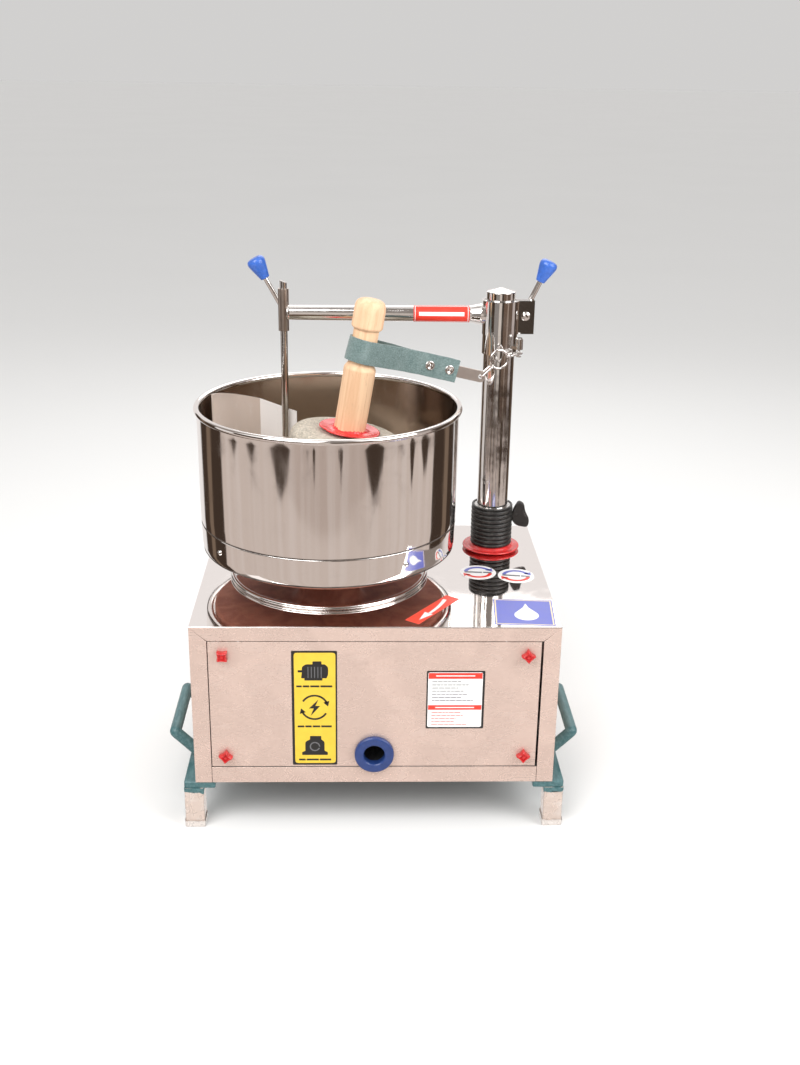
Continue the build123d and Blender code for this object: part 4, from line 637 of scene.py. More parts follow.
class Shape:
    """A mesh being built in millimetres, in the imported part's frame."""

    def __init__(self, name: str) -> None:
        """Starts an empty mesh."""
        self.name = name
        self.mesh = bmesh.new()

    def ring_skin(self, rings: list[list], closed: bool, ink: int = 0) -> None:
        """Joins rings of points with faces.

        Args:
            rings: Rings of bmesh vertices, with one vertex where the skin closes to a point.
            closed: Whether the last ring joins the first.
            ink: Index of the finish that the faces take.
        """
        pairs = list(zip(rings, rings[1:]))
        if closed:
            pairs.append((rings[-1], rings[0]))
        for lower, upper in pairs:
            sides = max(len(lower), len(upper))
            if sides == 1:
                continue
            for i in range(sides):
                j = (i + 1) % sides
                corners = [lower[i % len(lower)], lower[j % len(lower)], upper[j % len(upper)], upper[i % len(upper)]]
                corners = list(dict.fromkeys(corners))
                if len(corners) > 2:
                    self.mesh.faces.new(corners).material_index = ink

    def lathe(self, axes: Axes, profile: Sequence[Point2], sides: int = 96, warp: Warp | None = None,
              ink: int = 0) -> "Shape":
        """Adds a turned solid.

        Args:
            axes: The z axis is the one it turns on.
            profile: Closed outline of (radius, height) points.
            sides: Faces round the axis.
            warp: Changes (radius, height) at an angle.
            ink: Index of the finish.

        Returns:
            This shape.
        """
        rings = []
        for radius, height in profile:
            if radius < 1e-6:
                rings.append([self.mesh.verts.new(axes.at(0, 0, height))])
                continue
            ring = []
            for side in range(sides):
                turn = 2 * math.pi * side / sides
                r, h = warp(radius, height, turn) if warp else (radius, height)
                ring.append(self.mesh.verts.new(axes.polar(r, turn, h)))
            rings.append(ring)
        self.ring_skin(rings, True, ink)
        return self

    def tube(self, path: Sequence[Vector], radius: float, closed: bool = False, sides: int = 16,
             ink: int = 0) -> "Shape":
        """Adds a round bar along a path, with flat ends unless it is closed."""
        count = len(path)
        rings = []
        side = None
        for index, here in enumerate(path):
            before = path[index - 1] if closed or index else here
            after = path[(index + 1) % count] if closed or index < count - 1 else here
            ahead = (after - before).normalized()
            if side is None:
                side = ahead.orthogonal().normalized()
            side = (side - ahead * side.dot(ahead)).normalized()
            across = ahead.cross(side)
            turns = [2 * math.pi * step / sides for step in range(sides)]
            rings.append([self.mesh.verts.new(here + (side * math.cos(a) + across * math.sin(a)) * radius)
                          for a in turns])
        self.ring_skin(rings, closed, ink)
        if not closed:
            self.mesh.faces.new(rings[0][::-1]).material_index = ink
            self.mesh.faces.new(rings[-1]).material_index = ink
        return self

    def prism(self, axes: Axes, outline: Sequence[Point2], low: float, high: float, ink: int = 0) -> "Shape":
        """Adds a flat piece with that outline between two heights along z."""
        rings = [[self.mesh.verts.new(axes.at(x, y, h)) for x, y in outline] for h in (low, high)]
        self.ring_skin(rings, False, ink)
        self.mesh.faces.new(rings[0][::-1]).material_index = ink
        self.mesh.faces.new(rings[1]).material_index = ink
        return self

    def band(self, axes: Axes, outer: Sequence[Point2], inner: Sequence[Point2], low: float, high: float,
             ink: int = 0) -> "Shape":
        """Adds a flat frame between two outlines with the same number of points."""
        rings = [[self.mesh.verts.new(axes.at(x, y, h)) for x, y in line]
                 for line, h in ((outer, low), (outer, high), (inner, high), (inner, low))]
        self.ring_skin(rings, True, ink)
        return self

    def stack(self, axes: Axes, layers: Sequence[tuple[Sequence[Point2], float]], ink: int = 0) -> "Shape":
        """Adds a solid through outlines at rising heights, flat at both ends."""
        rings = [[self.mesh.verts.new(axes.at(x, y, h)) for x, y in line] for line, h in layers]
        self.ring_skin(rings, False, ink)
        self.mesh.faces.new(rings[0][::-1]).material_index = ink
        self.mesh.faces.new(rings[-1]).material_index = ink
        return self

    def rumple(self, size: float, depth: float, seed: float = 0.0, keep: Callable | None = None) -> "Shape":
        """Moves each point along its normal by smooth noise.

        Args:
            size: Distance over which the noise changes.
            depth: Furthest that a point moves.
            seed: Shift that gives each piece its own pattern.
            keep: Share of the move at a point, 1 everywhere if left out.

        Returns:
            This shape.
        """
        self.mesh.normal_update()
        moves = []
        for vert in self.mesh.verts:
            amount = noise.noise(vert.co / size + Vector((seed, -seed, seed))) * depth
            moves.append(vert.normal * amount * (keep(vert.co) if keep else 1.0))
        for vert, move in zip(self.mesh.verts, moves):
            vert.co += move
        return self

    def piece(self, body: Body, slot: str, finishes: Finish | Sequence[Finish], nodes: Iterable[str] = (),
              sharp: float = 38.0, bevel: float = 0.0, even: bool = True, smooth: int = 0) -> bpy.types.Object:
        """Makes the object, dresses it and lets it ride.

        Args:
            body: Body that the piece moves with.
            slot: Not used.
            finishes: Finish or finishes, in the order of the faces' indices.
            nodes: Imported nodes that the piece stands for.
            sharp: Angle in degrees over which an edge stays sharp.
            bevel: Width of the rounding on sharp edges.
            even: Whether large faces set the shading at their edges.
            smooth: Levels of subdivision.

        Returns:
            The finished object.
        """
        bmesh.ops.recalc_face_normals(self.mesh, faces=self.mesh.faces)
        bmesh.ops.scale(self.mesh, vec=(MM, MM, MM), verts=self.mesh.verts)
        data = bpy.data.meshes.new(self.name)
        self.mesh.to_mesh(data)
        self.mesh.free()
        for finish in [finishes] if isinstance(finishes, Finish) else finishes:
            data.materials.append(finish.material())
        data.shade_smooth()
        data.set_sharp_from_angle(angle=math.radians(sharp))
        made = bpy.data.objects.new(self.name, data)
        bpy.context.scene.collection.objects.link(made)
        if bevel:
            edge = made.modifiers.new("edges", "BEVEL")
            edge.width = bevel * MM
            edge.segments = 3
            edge.limit_method = "ANGLE"
            edge.angle_limit = math.radians(sharp)
        if smooth:
            soft = made.modifiers.new("soft", "SUBSURF")
            soft.levels = soft.render_levels = smooth
        if even:
            weigh = made.modifiers.new("shading", "WEIGHTED_NORMAL")
            weigh.keep_sharp = True
        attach(made, body.value)
        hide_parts(*nodes)
        log.info("%s: %d faces, rides on %s", self.name, len(data.polygons), body.value)
        return made


def dress(node: str, finish: Finish) -> None:
    """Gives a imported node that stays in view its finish."""
    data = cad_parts[node].data
    data.materials.clear()
    data.materials.append(finish.material())
    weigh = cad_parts[node].modifiers.new("shading", "WEIGHTED_NORMAL")
    weigh.keep_sharp = True
    log.info("%s: packed node in %s", node, finish.name)


# ---------------------------------------------------------------- base


@dataclass(frozen=True)
class Base:
    """Rails, legs with film, handles and the parts under the cabinet."""

    leg: float = 25.0
    wall: float = 2.0
    lip: float = 27.0
    lip_height: float = 10.0
    foot_flare: float = 1.0
    grip: float = 7.5
    bend: float = 2.5
    trim_x: float = 225.0

    def build(self) -> None:
        """Makes every piece of the base."""
        self.rails()
        self.legs()
        self.handles()
        dress("cross_members", Stock.GREY)
        dress("mount_plate", Stock.GREY)

    def centres(self) -> list[Vector]:
        """Middle of each leg in plan."""
        span = Span.of("legs")
        half = self.leg / 2
        return [Vector((x, y, 0)) for y in (span.low.y + half, span.high.y - half)
                for x in (span.low.x + half, span.high.x - half)]

    def rails(self) -> None:
        """Painted flat bars with eased corners and a lumpy coat."""
        span = Span.of("side_rails")
        width = 40.0
        shape = Shape("side_rails_painted")
        for x in (span.low.x + width / 2, span.high.x - width / 2):
            axes = Axes.upright(x, 0)
            length = span.high.y - span.low.y
            outline = eased(box_outline(width - 0.6, length - 0.6, 2.2))
            inset = eased(box_outline(width - 2.2, length - 2.2, 1.6))
            shape.stack(axes, [(inset, span.low.z + 0.1), (outline, span.low.z + 1.2),
                               (outline, span.high.z - 0.9), (inset, span.high.z)])
        shape.piece(Body.CHASSIS, "teal_paint", Stock.TEAL, ["side_rails"])

    def legs(self) -> None:
        """Square tubes in crumpled film, with a clear flared lip at the foot."""
        span = Span.of("legs")
        tubes = Shape("leg_tubes_in_film")
        feet = Shape("foot_lips")
        paint = Shape("paint_on_leg_tops")
        levels = 26
        for index, centre in enumerate(self.centres()):
            axes = Axes(centre, Vector((1, 0, 0)), Vector((0, 1, 0)), Vector((0, 0, 1)))
            side = self.leg - 0.8
            outline = self.square(side, 7)
            heights = [span.low.z + (span.high.z - span.low.z) * step / levels for step in range(levels + 1)]
            tubes.stack(axes, [(outline, h) for h in heights])
            self.foot(feet, axes, index)
            self.painted_top(paint, axes, index, span.high.z)
        tubes.rumple(7.0, 0.38, 3.0)
        tubes.piece(Body.CHASSIS, "film_wrapped_steel", Stock.LEG, ["legs"], sharp=60, even=False)
        feet.rumple(5.0, 0.30, 5.0)
        feet.piece(Body.CHASSIS, "foot_plastic", Stock.FOOT, ["leg_caps"], sharp=60, even=False)
        paint.piece(Body.CHASSIS, "teal_paint", Stock.TEAL, ["side_rails"], sharp=60, even=False)

    def square(self, side: float, per_side: int) -> list[tuple[float, float]]:
        """Square outline with eased corners and points along each side."""
        half = side / 2
        ease = 2.0
        made = []
        for quarter in range(4):
            turn = math.pi / 2 * quarter
            for step in range(per_side):
                along = -half + ease + (side - 2 * ease) * step / (per_side - 1)
                made.append((along * math.cos(turn) + half * math.sin(turn),
                             along * math.sin(turn) - half * math.cos(turn)))
            corner = arc(half - ease, -half + ease, ease, -75, -15, 2)
            made += [(x * math.cos(turn) - y * math.sin(turn), x * math.sin(turn) + y * math.cos(turn))
                     for x, y in corner]
        return made

    def foot(self, shape: Shape, axes: Axes, index: int) -> None:
        """One clear lip, wider and ragged at its upper edge."""
        random.seed(40 + index)
        layers = []
        for height, side in ((0.05, 25.2), (1.0, 26.0), (3.0, 25.8), (6.0, 26.1), (8.2, 26.5), (9.4, 26.8)):
            outline = self.square(side - 0.5, 7)
            ragged = height > 8
            layers.append([(x, y, height + (random.uniform(-1.2, 0.5) if ragged else 0)) for x, y in outline])
        inner = [(x, y, 6.0) for x, y in self.square(24.8, 7)]
        rings = [[shape.mesh.verts.new(axes.at(*spot)) for spot in layer] for layer in layers + [inner]]
        shape.ring_skin(rings, False)
        shape.mesh.faces.new(rings[0][::-1])
        shape.mesh.faces.new(rings[-1])

    def painted_top(self, shape: Shape, axes: Axes, index: int, top: float) -> None:
        """A thin coat that runs down from the rail in drips."""
        random.seed(60 + index)
        outline = self.square(self.leg + 0.1, 7)
        drops = [random.uniform(2.0, 9.5) for _ in outline]
        drops = [(drops[i - 1] + drops[i] * 2 + drops[(i + 1) % len(drops)]) / 4 for i in range(len(drops))]
        low = [(x, y, top - drop) for (x, y), drop in zip(outline, drops)]
        high = [(x, y, top - 0.02) for x, y in outline]
        rings = [[shape.mesh.verts.new(axes.at(*spot)) for spot in layer] for layer in (low, high)]
        shape.ring_skin(rings, False)
        shape.mesh.faces.new(rings[0][::-1])
        shape.mesh.faces.new(rings[-1])

    def handles(self) -> None:
        """Bent round bars, welded to the rail tops."""
        span = Span.of("side_handles")
        rail_top = Span.of("side_rails").high.z
        shape = Shape("side_handles_painted")
        for side in (-1, 1):
            grip_x = side * (span.high.x - self.grip)
            grip_z = span.high.z - self.grip
            y0, y1 = span.low.y + self.grip, span.high.y - self.grip
            drop = grip_z - rail_top
            foot_x = grip_x - side * drop
            corners = [Vector((foot_x, y0, rail_top)), Vector((grip_x, y0, grip_z)), Vector((grip_x, y1, grip_z)),
                       Vector((foot_x, y1, rail_top))]
            shape.tube(self.bent(corners), self.grip - 0.15, sides=28)
            for y in (y0, y1):
                self.weld(shape, Axes.upright(foot_x + side * 2.5, y, rail_top), side)
        self.trim(shape, rail_top)
        shape.rumple(9.0, 0.16, 1.0)
        shape.piece(Body.CHASSIS, "teal_paint", Stock.TEAL, ["side_handles"], sharp=50)

    def bent(self, corners: Sequence[Vector]) -> list[Vector]:
        """Path through corners, each rounded by the bend radius."""
        path = [corners[0]]
        for before, here, after in zip(corners, corners[1:], corners[2:]):
            back, ahead = (before - here).normalized(), (after - here).normalized()
            start, end = here + back * self.bend, here + ahead * self.bend
            path += [start * (1 - t) ** 2 + here * (2 * t * (1 - t)) + end * t ** 2
                     for t in (step / 7 for step in range(8))]
        path.append(corners[-1])
        spread = [path[0]]
        for here in path[1:]:
            pieces = max(1, int((here - spread[-1]).length / 4))
            start = spread[-1]
            spread += [start.lerp(here, step / pieces) for step in range(1, pieces + 1)]
        return spread

    def weld(self, shape: Shape, axes: Axes, side: int) -> None:
        """Lumpy bead round the foot of a handle."""
        def lumps(radius: float, height: float, turn: float) -> tuple[float, float]:
            """Radius that swells and shrinks round the bead."""
            return radius + 0.9 * math.sin(5 * turn) + 0.5 * math.sin(11 * turn + 1), height

        shape.lathe(axes, [(0, 0), (9.0, 0), (8.4, 2.0), (6.8, 3.4), (0, 3.6)], 40, lumps)

    def trim(self, shape: Shape, floor: float) -> None:
        """Keeps the bars above the rail and outside the cabinet's cover."""
        for vert in shape.mesh.verts:
            vert.co.z = max(vert.co.z, floor)
            if abs(vert.co.x) < self.trim_x:
                vert.co.x = math.copysign(self.trim_x, vert.co.x)


# ---------------------------------------------------------------- cabinet


@dataclass(frozen=True)
class Cabinet:
    """Sheet cover: mirror top, satin frames and panels, knob screws and the cable grommet."""

    sheet: float = 1.2
    side_w: float = 21.0
    top_h: float = 19.0
    low_h: float = 22.0
    seam: float = 0.5
    wide_seam: float = 1.6
    hole_r: float = 15.2
    point_r: float = 9.6
    waist_r: float = 5.5
    knob_turns: tuple[float, ...] = (0.0, 47.0, 38.0, 44.0)

    def build(self) -> None:
        """Makes every piece of the cabinet."""
        self.top()
        for node, face in (("front_frame", -1), ("back_frame", 1)):
            self.frame_strips(node, face)
        for node, face in (("front_panel", -1), ("back_panel", 1)):
            self.panel(node, face)
        dress("side_panels", Stock.SHEET)
        self.knobs()
        self.grommet()

    def face_axes(self, y: float, face: int) -> Axes:
        """Axes on an upright face: x across, y up and z outward."""
        return Axes(Vector((0, y, 0)), Vector((-face, 0, 0)), Vector((0, 0, 1)), Vector((0, face, 0)))

    def top(self) -> None:
        """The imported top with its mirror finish."""
        dress("top_plate", Stock.MIRROR)

    def frame_strips(self, node: str, face: int) -> None:
        """Four flat strips with bevelled edges, mitred at the top and butted at the foot."""
        span = Span.of(node)
        w = span.high.x
        low, high = span.low.z, span.high.z
        in_x = w - self.side_w
        in_top = high - self.top_h + self.sheet
        in_low = low + self.low_h
        y = span.low.y if face < 0 else span.high.y
        axes = self.face_axes(y, face)
        shape = Shape(node + "_strips")
        gap = self.seam / 2
        strips = [[(-w, high), (w, high), (in_x, in_top), (-in_x, in_top)],
                  [(in_x, low), (-in_x, low), (-in_x, in_low), (in_x, in_low)],
                  [(-w, low), (-w, high), (-in_x, in_top), (-in_x, low)],
                  [(w, high), (w, low), (in_x, low), (in_x, in_top)]]
        for corners in strips:
            cx = sum(x for x, _ in corners) / 4
            cz = sum(z for _, z in corners) / 4
            inset = [(x - math.copysign(gap, x - cx) * (0 if abs(x) >= w else 1),
                      z - math.copysign(gap, z - cz) * (0 if z in (low, high) else 1)) for x, z in corners]
            shape.prism(axes, inset, -self.sheet, 0)
        shape.piece(Body.CHASSIS, "cabinet_sheet", Stock.SHEET, [node], sharp=30, bevel=0.45)

    def panel(self, node: str, face: int) -> None:
        """Removable panel, a little proud, with bevelled edges."""
        span = Span.of(node)
        y = span.low.y if face < 0 else span.high.y
        middle = span.middle
        axes = self.face_axes(y, face)
        width, height = span.high.x - span.low.x, span.high.z - span.low.z
        shape = Shape(node + "_sheet")
        wide = width - self.wide_seam
        if face < 0:
            hole = Span.of("cable_grommet").middle
            outer, inner = pierced(wide, height, -self.wide_seam / 2 - hole.x, middle.z - hole.z, self.hole_r)
            spot = Axes(axes.at(hole.x, hole.z), axes.x, axes.y, axes.z)
            shape.band(spot, outer, inner, -self.sheet, 0)
        else:
            shape.prism(axes, eased(box_outline(wide, height, 1.5, 0, middle.z)), -self.sheet, 0)
        shape.piece(Body.CHASSIS, "cabinet_sheet", Stock.SHEET, [node], sharp=30, bevel=0.4)

    def star(self, scale: float, turn: float, ease: float) -> list[tuple[float, float]]:
        """Four-pointed outline with eased points."""
        corners = []
        for step in range(8):
            angle = math.radians(turn + 45 + 45 * step)
            radius = scale * (self.point_r if step % 2 == 0 else self.waist_r)
            corners.append((radius * math.cos(angle), radius * math.sin(angle), ease if step % 2 == 0 else ease * 1.4))
        return eased(corners, steps=3)

    def knobs(self) -> None:
        """Star heads with a dished face and a raised middle."""
        span = Span.of("panel_knobs")
        shape = Shape("star_knobs")
        x = span.high.x - self.point_r
        z0, z1 = span.low.z + self.point_r, span.high.z - self.point_r
        random.seed(8)
        for face in (-1, 1):
            y = (Span.of("front_panel").low.y if face < 0 else Span.of("back_panel").high.y)
            tall = abs(span.low.y if face < 0 else span.high.y) - abs(y)
            for (px, pz), turn in zip(((-x, z1), (x, z1), (-x, z0), (x, z0)), self.knob_turns):
                axes = Axes(Vector((px, y, pz)), Vector((-face, 0, 0)), Vector((0, 0, 1)), Vector((0, face, 0)))
                layers = [(0.90, 0.0, 1.0), (0.97, 1.0, 1.2), (0.985, tall - 3.4, 1.6), (0.90, tall - 1.2, 1.8),
                          (0.74, tall - 0.15, 1.6), (0.60, tall - 0.5, 1.4), (0.50, tall - 1.9, 1.2),
                          (0.34, tall - 1.7, 1.0), (0.26, tall - 0.6, 0.8)]
                shape.stack(axes, [(self.star(s, turn + random.uniform(-1, 1), e), h) for s, h, e in layers])
        shape.rumple(4.0, 0.35, 2.0)
        shape.piece(Body.CHASSIS, "red_plastic", Stock.RED_KNOB, ["panel_knobs"], sharp=33, even=False)

    def grommet(self) -> None:
        """Thick soft-edged ring with its spigot."""
        span = Span.of("cable_grommet")
        middle = span.middle
        front = Span.of("front_frame").low.y
        axes = Axes(Vector((middle.x, front, middle.z)), Vector((1, 0, 0)), Vector((0, 0, 1)), Vector((0, -1, 0)))
        outer = (span.high.x - span.low.x) / 2
        rise = front - span.low.y
        bore = 13.0
        profile = eased([(bore, -5.0, 0.5), (15.0, -5.0, 0.5), (15.0, 0.0), (outer, 0.0, 0.6),
                         (outer, rise - 1.2, 1.6), (outer - 1.8, rise, 1.6), (bore + 1.6, rise, 1.4),
                         (bore, rise - 1.6, 1.4)], steps=6)
        Shape("cable_grommet_ring").lathe(axes, profile, 96).piece(
            Body.CHASSIS, "blue_plastic", Stock.NAVY, ["cable_grommet"])


# ---------------------------------------------------------------- drum


@dataclass(frozen=True)
class Drum:
    """Turning drum with its bead, seam, rivets, bed stone and turntable."""

    wall: float = 1.4
    bead: float = 3.8
    sides: int = 192
    low_r: float = 163.7
    seam_z: float = 362.0
    rivet_start: float = 216.0
    rivet_z: float = 344.0
    ring_wire: float = 3.2
    bowl_z: float = 424.0
    bowl_r: float = 87.3

    def build(self) -> None:
        """Makes every piece of the drum."""
        self.shell()
        self.pan()
        self.rivets()
        self.bed()
        self.turntable()
        self.guard_ring()
        dress("output_shaft", Stock.STEEL)
        dress("worm_wheel", Stock.BRONZE)

    def axes(self) -> Axes:
        """The drum's upright axis."""
        middle = Span.of("drum_wall").middle
        return Axes.upright(middle.x, middle.y)

    def shell(self) -> None:
        """Rolled wall with a round bead at the rim."""
        span = Span.of("drum_wall")
        rim_r = (span.high.x - span.low.x) / 2
        high_r = rim_r - self.bead
        bead_z = span.high.z - self.bead
        low_r = self.low_r + 1.2
        profile = [(low_r - self.wall, self.seam_z), (low_r - 0.7, self.seam_z), (low_r, self.seam_z + 1.0)]
        profile += [(low_r + (high_r - low_r) * t, self.seam_z + 1 + (bead_z - 4.5 - self.seam_z) * t)
                    for t in (0.1, 0.35, 0.65, 0.95)]
        profile += arc(high_r, bead_z, self.bead, -88, 248, 28)
        profile += [(high_r - self.wall - (high_r - low_r) * t, bead_z - 5 - (bead_z - 5 - self.seam_z) * t)
                    for t in (0.0, 0.35, 0.7)]
        shape = Shape("drum_shell").lathe(self.axes(), profile, self.sides)
        centre = self.axes().origin
        shape.mesh.normal_update()
        # Faces of the inner wall take the darker copy of the steel, which is painted shade inside the drum.
        for panel in shape.mesh.faces:
            spot = panel.calc_center_median() - centre
            inside = math.hypot(spot.x, spot.y) < high_r - 1.0 - (high_r - low_r) * (bead_z - spot.z) / (
                bead_z - self.seam_z)
            panel.material_index = 1 if inside and spot.z < bead_z - self.bead else 0
        shape.piece(Body.DRUM, "drum_steel", [Stock.DRUM, Stock.DRUM_INSIDE_SHADED], ["drum_wall"])
        self.grime_and_shade_line("drum_seam_line", low_r + 0.02, self.seam_z + 0.1)
        # Painted shade: a dark line along the drum's foot, where it stands over the top.
        self.grime_and_shade_line("drum_foot_shade_line", self.low_r - 0.85, Span.of("drum_pan").low.z + 2.0)

    def grime_and_shade_line(self, name: str, radius: float, z: float) -> None:
        """Dark line round the drum, broken where the sheets touch: grime in the seam, painted shade along the foot."""
        def broken(spot: float, height: float, turn: float) -> tuple[float, float]:
            """Radius that dips under the wall here and there."""
            dip = noise.noise(Vector((9 * math.cos(turn), 9 * math.sin(turn), 1.7)))
            return spot + 0.25 * dip, height + 0.25 * noise.noise(Vector((5 * math.cos(turn), 5 * math.sin(turn), 8.2)))

        profile = [(radius - 0.8, z - 0.8), (radius, z - 0.8), (radius, z + 0.8), (radius - 0.8, z + 0.8)]
        Shape(name).lathe(self.axes(), profile, self.sides, broken).piece(
            Body.DRUM, "drum_steel", Stock.SEAM_GRIME_AND_SHADE, ["drum_wall"], even=False)

    def pan(self) -> None:
        """Pressed pan with a rolled foot."""
        low = Span.of("drum_pan").low.z
        r = self.low_r
        top = self.seam_z
        profile = eased([(0, low + 2), (r - 9, low + 2, 2), (r - 7, low, 2), (r - 3.5, low, 2), (r - 1.0, low + 2.2, 2.5),
                         (r, low + 7, 4), (r + 1.15, top - 1.4, 0.8), (r + 0.2, top - 0.4, 0.5), (r - 0.2, top),
                         (r - self.wall, low + 8, 3), (r - 4, low + 4, 2), (0, low + 4)], steps=5)
        Shape("drum_pan_pressed").lathe(self.axes(), profile, self.sides).piece(
            Body.DRUM, "drum_steel", Stock.DRUM, ["drum_pan"])

    def rivets(self) -> None:
        """Domed heads on the lower band."""
        shape = Shape("pan_rivet_heads")
        drum = self.axes()
        for step in range(4):
            turn = math.radians(self.rivet_start + 90 * step)
            out = Vector((math.cos(turn), math.sin(turn), 0))
            axes = Axes.facing(drum.polar(self.low_r + 0.7, turn, self.rivet_z), out, (0, 0, 1))
            shape.lathe(axes, [(0, -0.5), (3.4, -0.5), (3.4, 0.4), (3.1, 1.1), (2.3, 1.7), (1.2, 2.0), (0, 2.05)], 32)
        shape.piece(Body.DRUM, "drum_steel", Stock.CHROME, ["pan_rivets"], sharp=60)

    def bed(self) -> None:
        """Granite bed with a worn bowl."""
        span = Span.of("bed_stone")
        top, low = span.high.z, span.low.z
        radius = (span.high.x - span.low.x) / 2 - 0.3
        lip = math.sqrt(self.bowl_r ** 2 - (self.bowl_z - top) ** 2)
        start = math.degrees(math.atan2(top - self.bowl_z, lip))
        bowl = arc(0, self.bowl_z, self.bowl_r + 0.25, start, -90, 30)
        profile = [(0, low), (radius * 0.5, low), (radius - 1, low), (radius, low + 1)]
        profile += [(radius, low + (top - 8 - low) * t) for t in (0.25, 0.5, 0.75, 1.0)]
        profile += [(radius - 3, top - 3), (radius - 8, top - 0.3)]
        profile += [(radius - 8 - (radius - 8 - lip - 3) * t, top - 0.3) for t in (0.2, 0.4, 0.6, 0.8, 0.98)]
        profile += [(max(0.0, r), h) for r, h in bowl[:-1]] + [(0, self.bowl_z - self.bowl_r - 0.25)]
        shape = Shape("bed_stone_dressed").lathe(self.axes(), profile, 160)
        shape.rumple(4.0, 0.22, 4.0)
        shape.piece(Body.DRUM, "granite", Stock.GRANITE, ["bed_stone"], sharp=80, even=False)

    def turntable(self) -> None:
        """Cast disc with a flared hub."""
        span = Span.of("turntable")
        outer = (span.high.x - span.low.x) / 2
        low, top = span.low.z, span.high.z
        profile = eased([(14.0, low), (38, low, 1), (40, low + 2, 2), (40, low + 22, 6), (48, low + 30, 6),
                         (outer - 2, low + 32, 1), (outer, low + 33.5, 1), (outer, top - 1, 0.8), (outer - 1, top),
                         (14.0, top)], steps=4)
        shape = Shape("turntable_cast").lathe(self.axes(), profile, 128)
        shape.piece(Body.DRUM, "red_oxide_paint", Stock.OXIDE, ["turntable"])

    def guard_ring(self) -> None:
        """Round wire ring that lies on the top."""
        span = Span.of("guard_ring")
        radius = (span.high.x - span.low.x) / 2 - self.ring_wire
        profile = arc(radius, span.middle.z, self.ring_wire, 0, 345, 23)
        Shape("guard_ring_wire").lathe(self.axes(), profile, 160).piece(
            Body.CHASSIS, "polished_steel", Stock.BAR, ["guard_ring"], sharp=180, even=False)


# ---------------------------------------------------------------- post


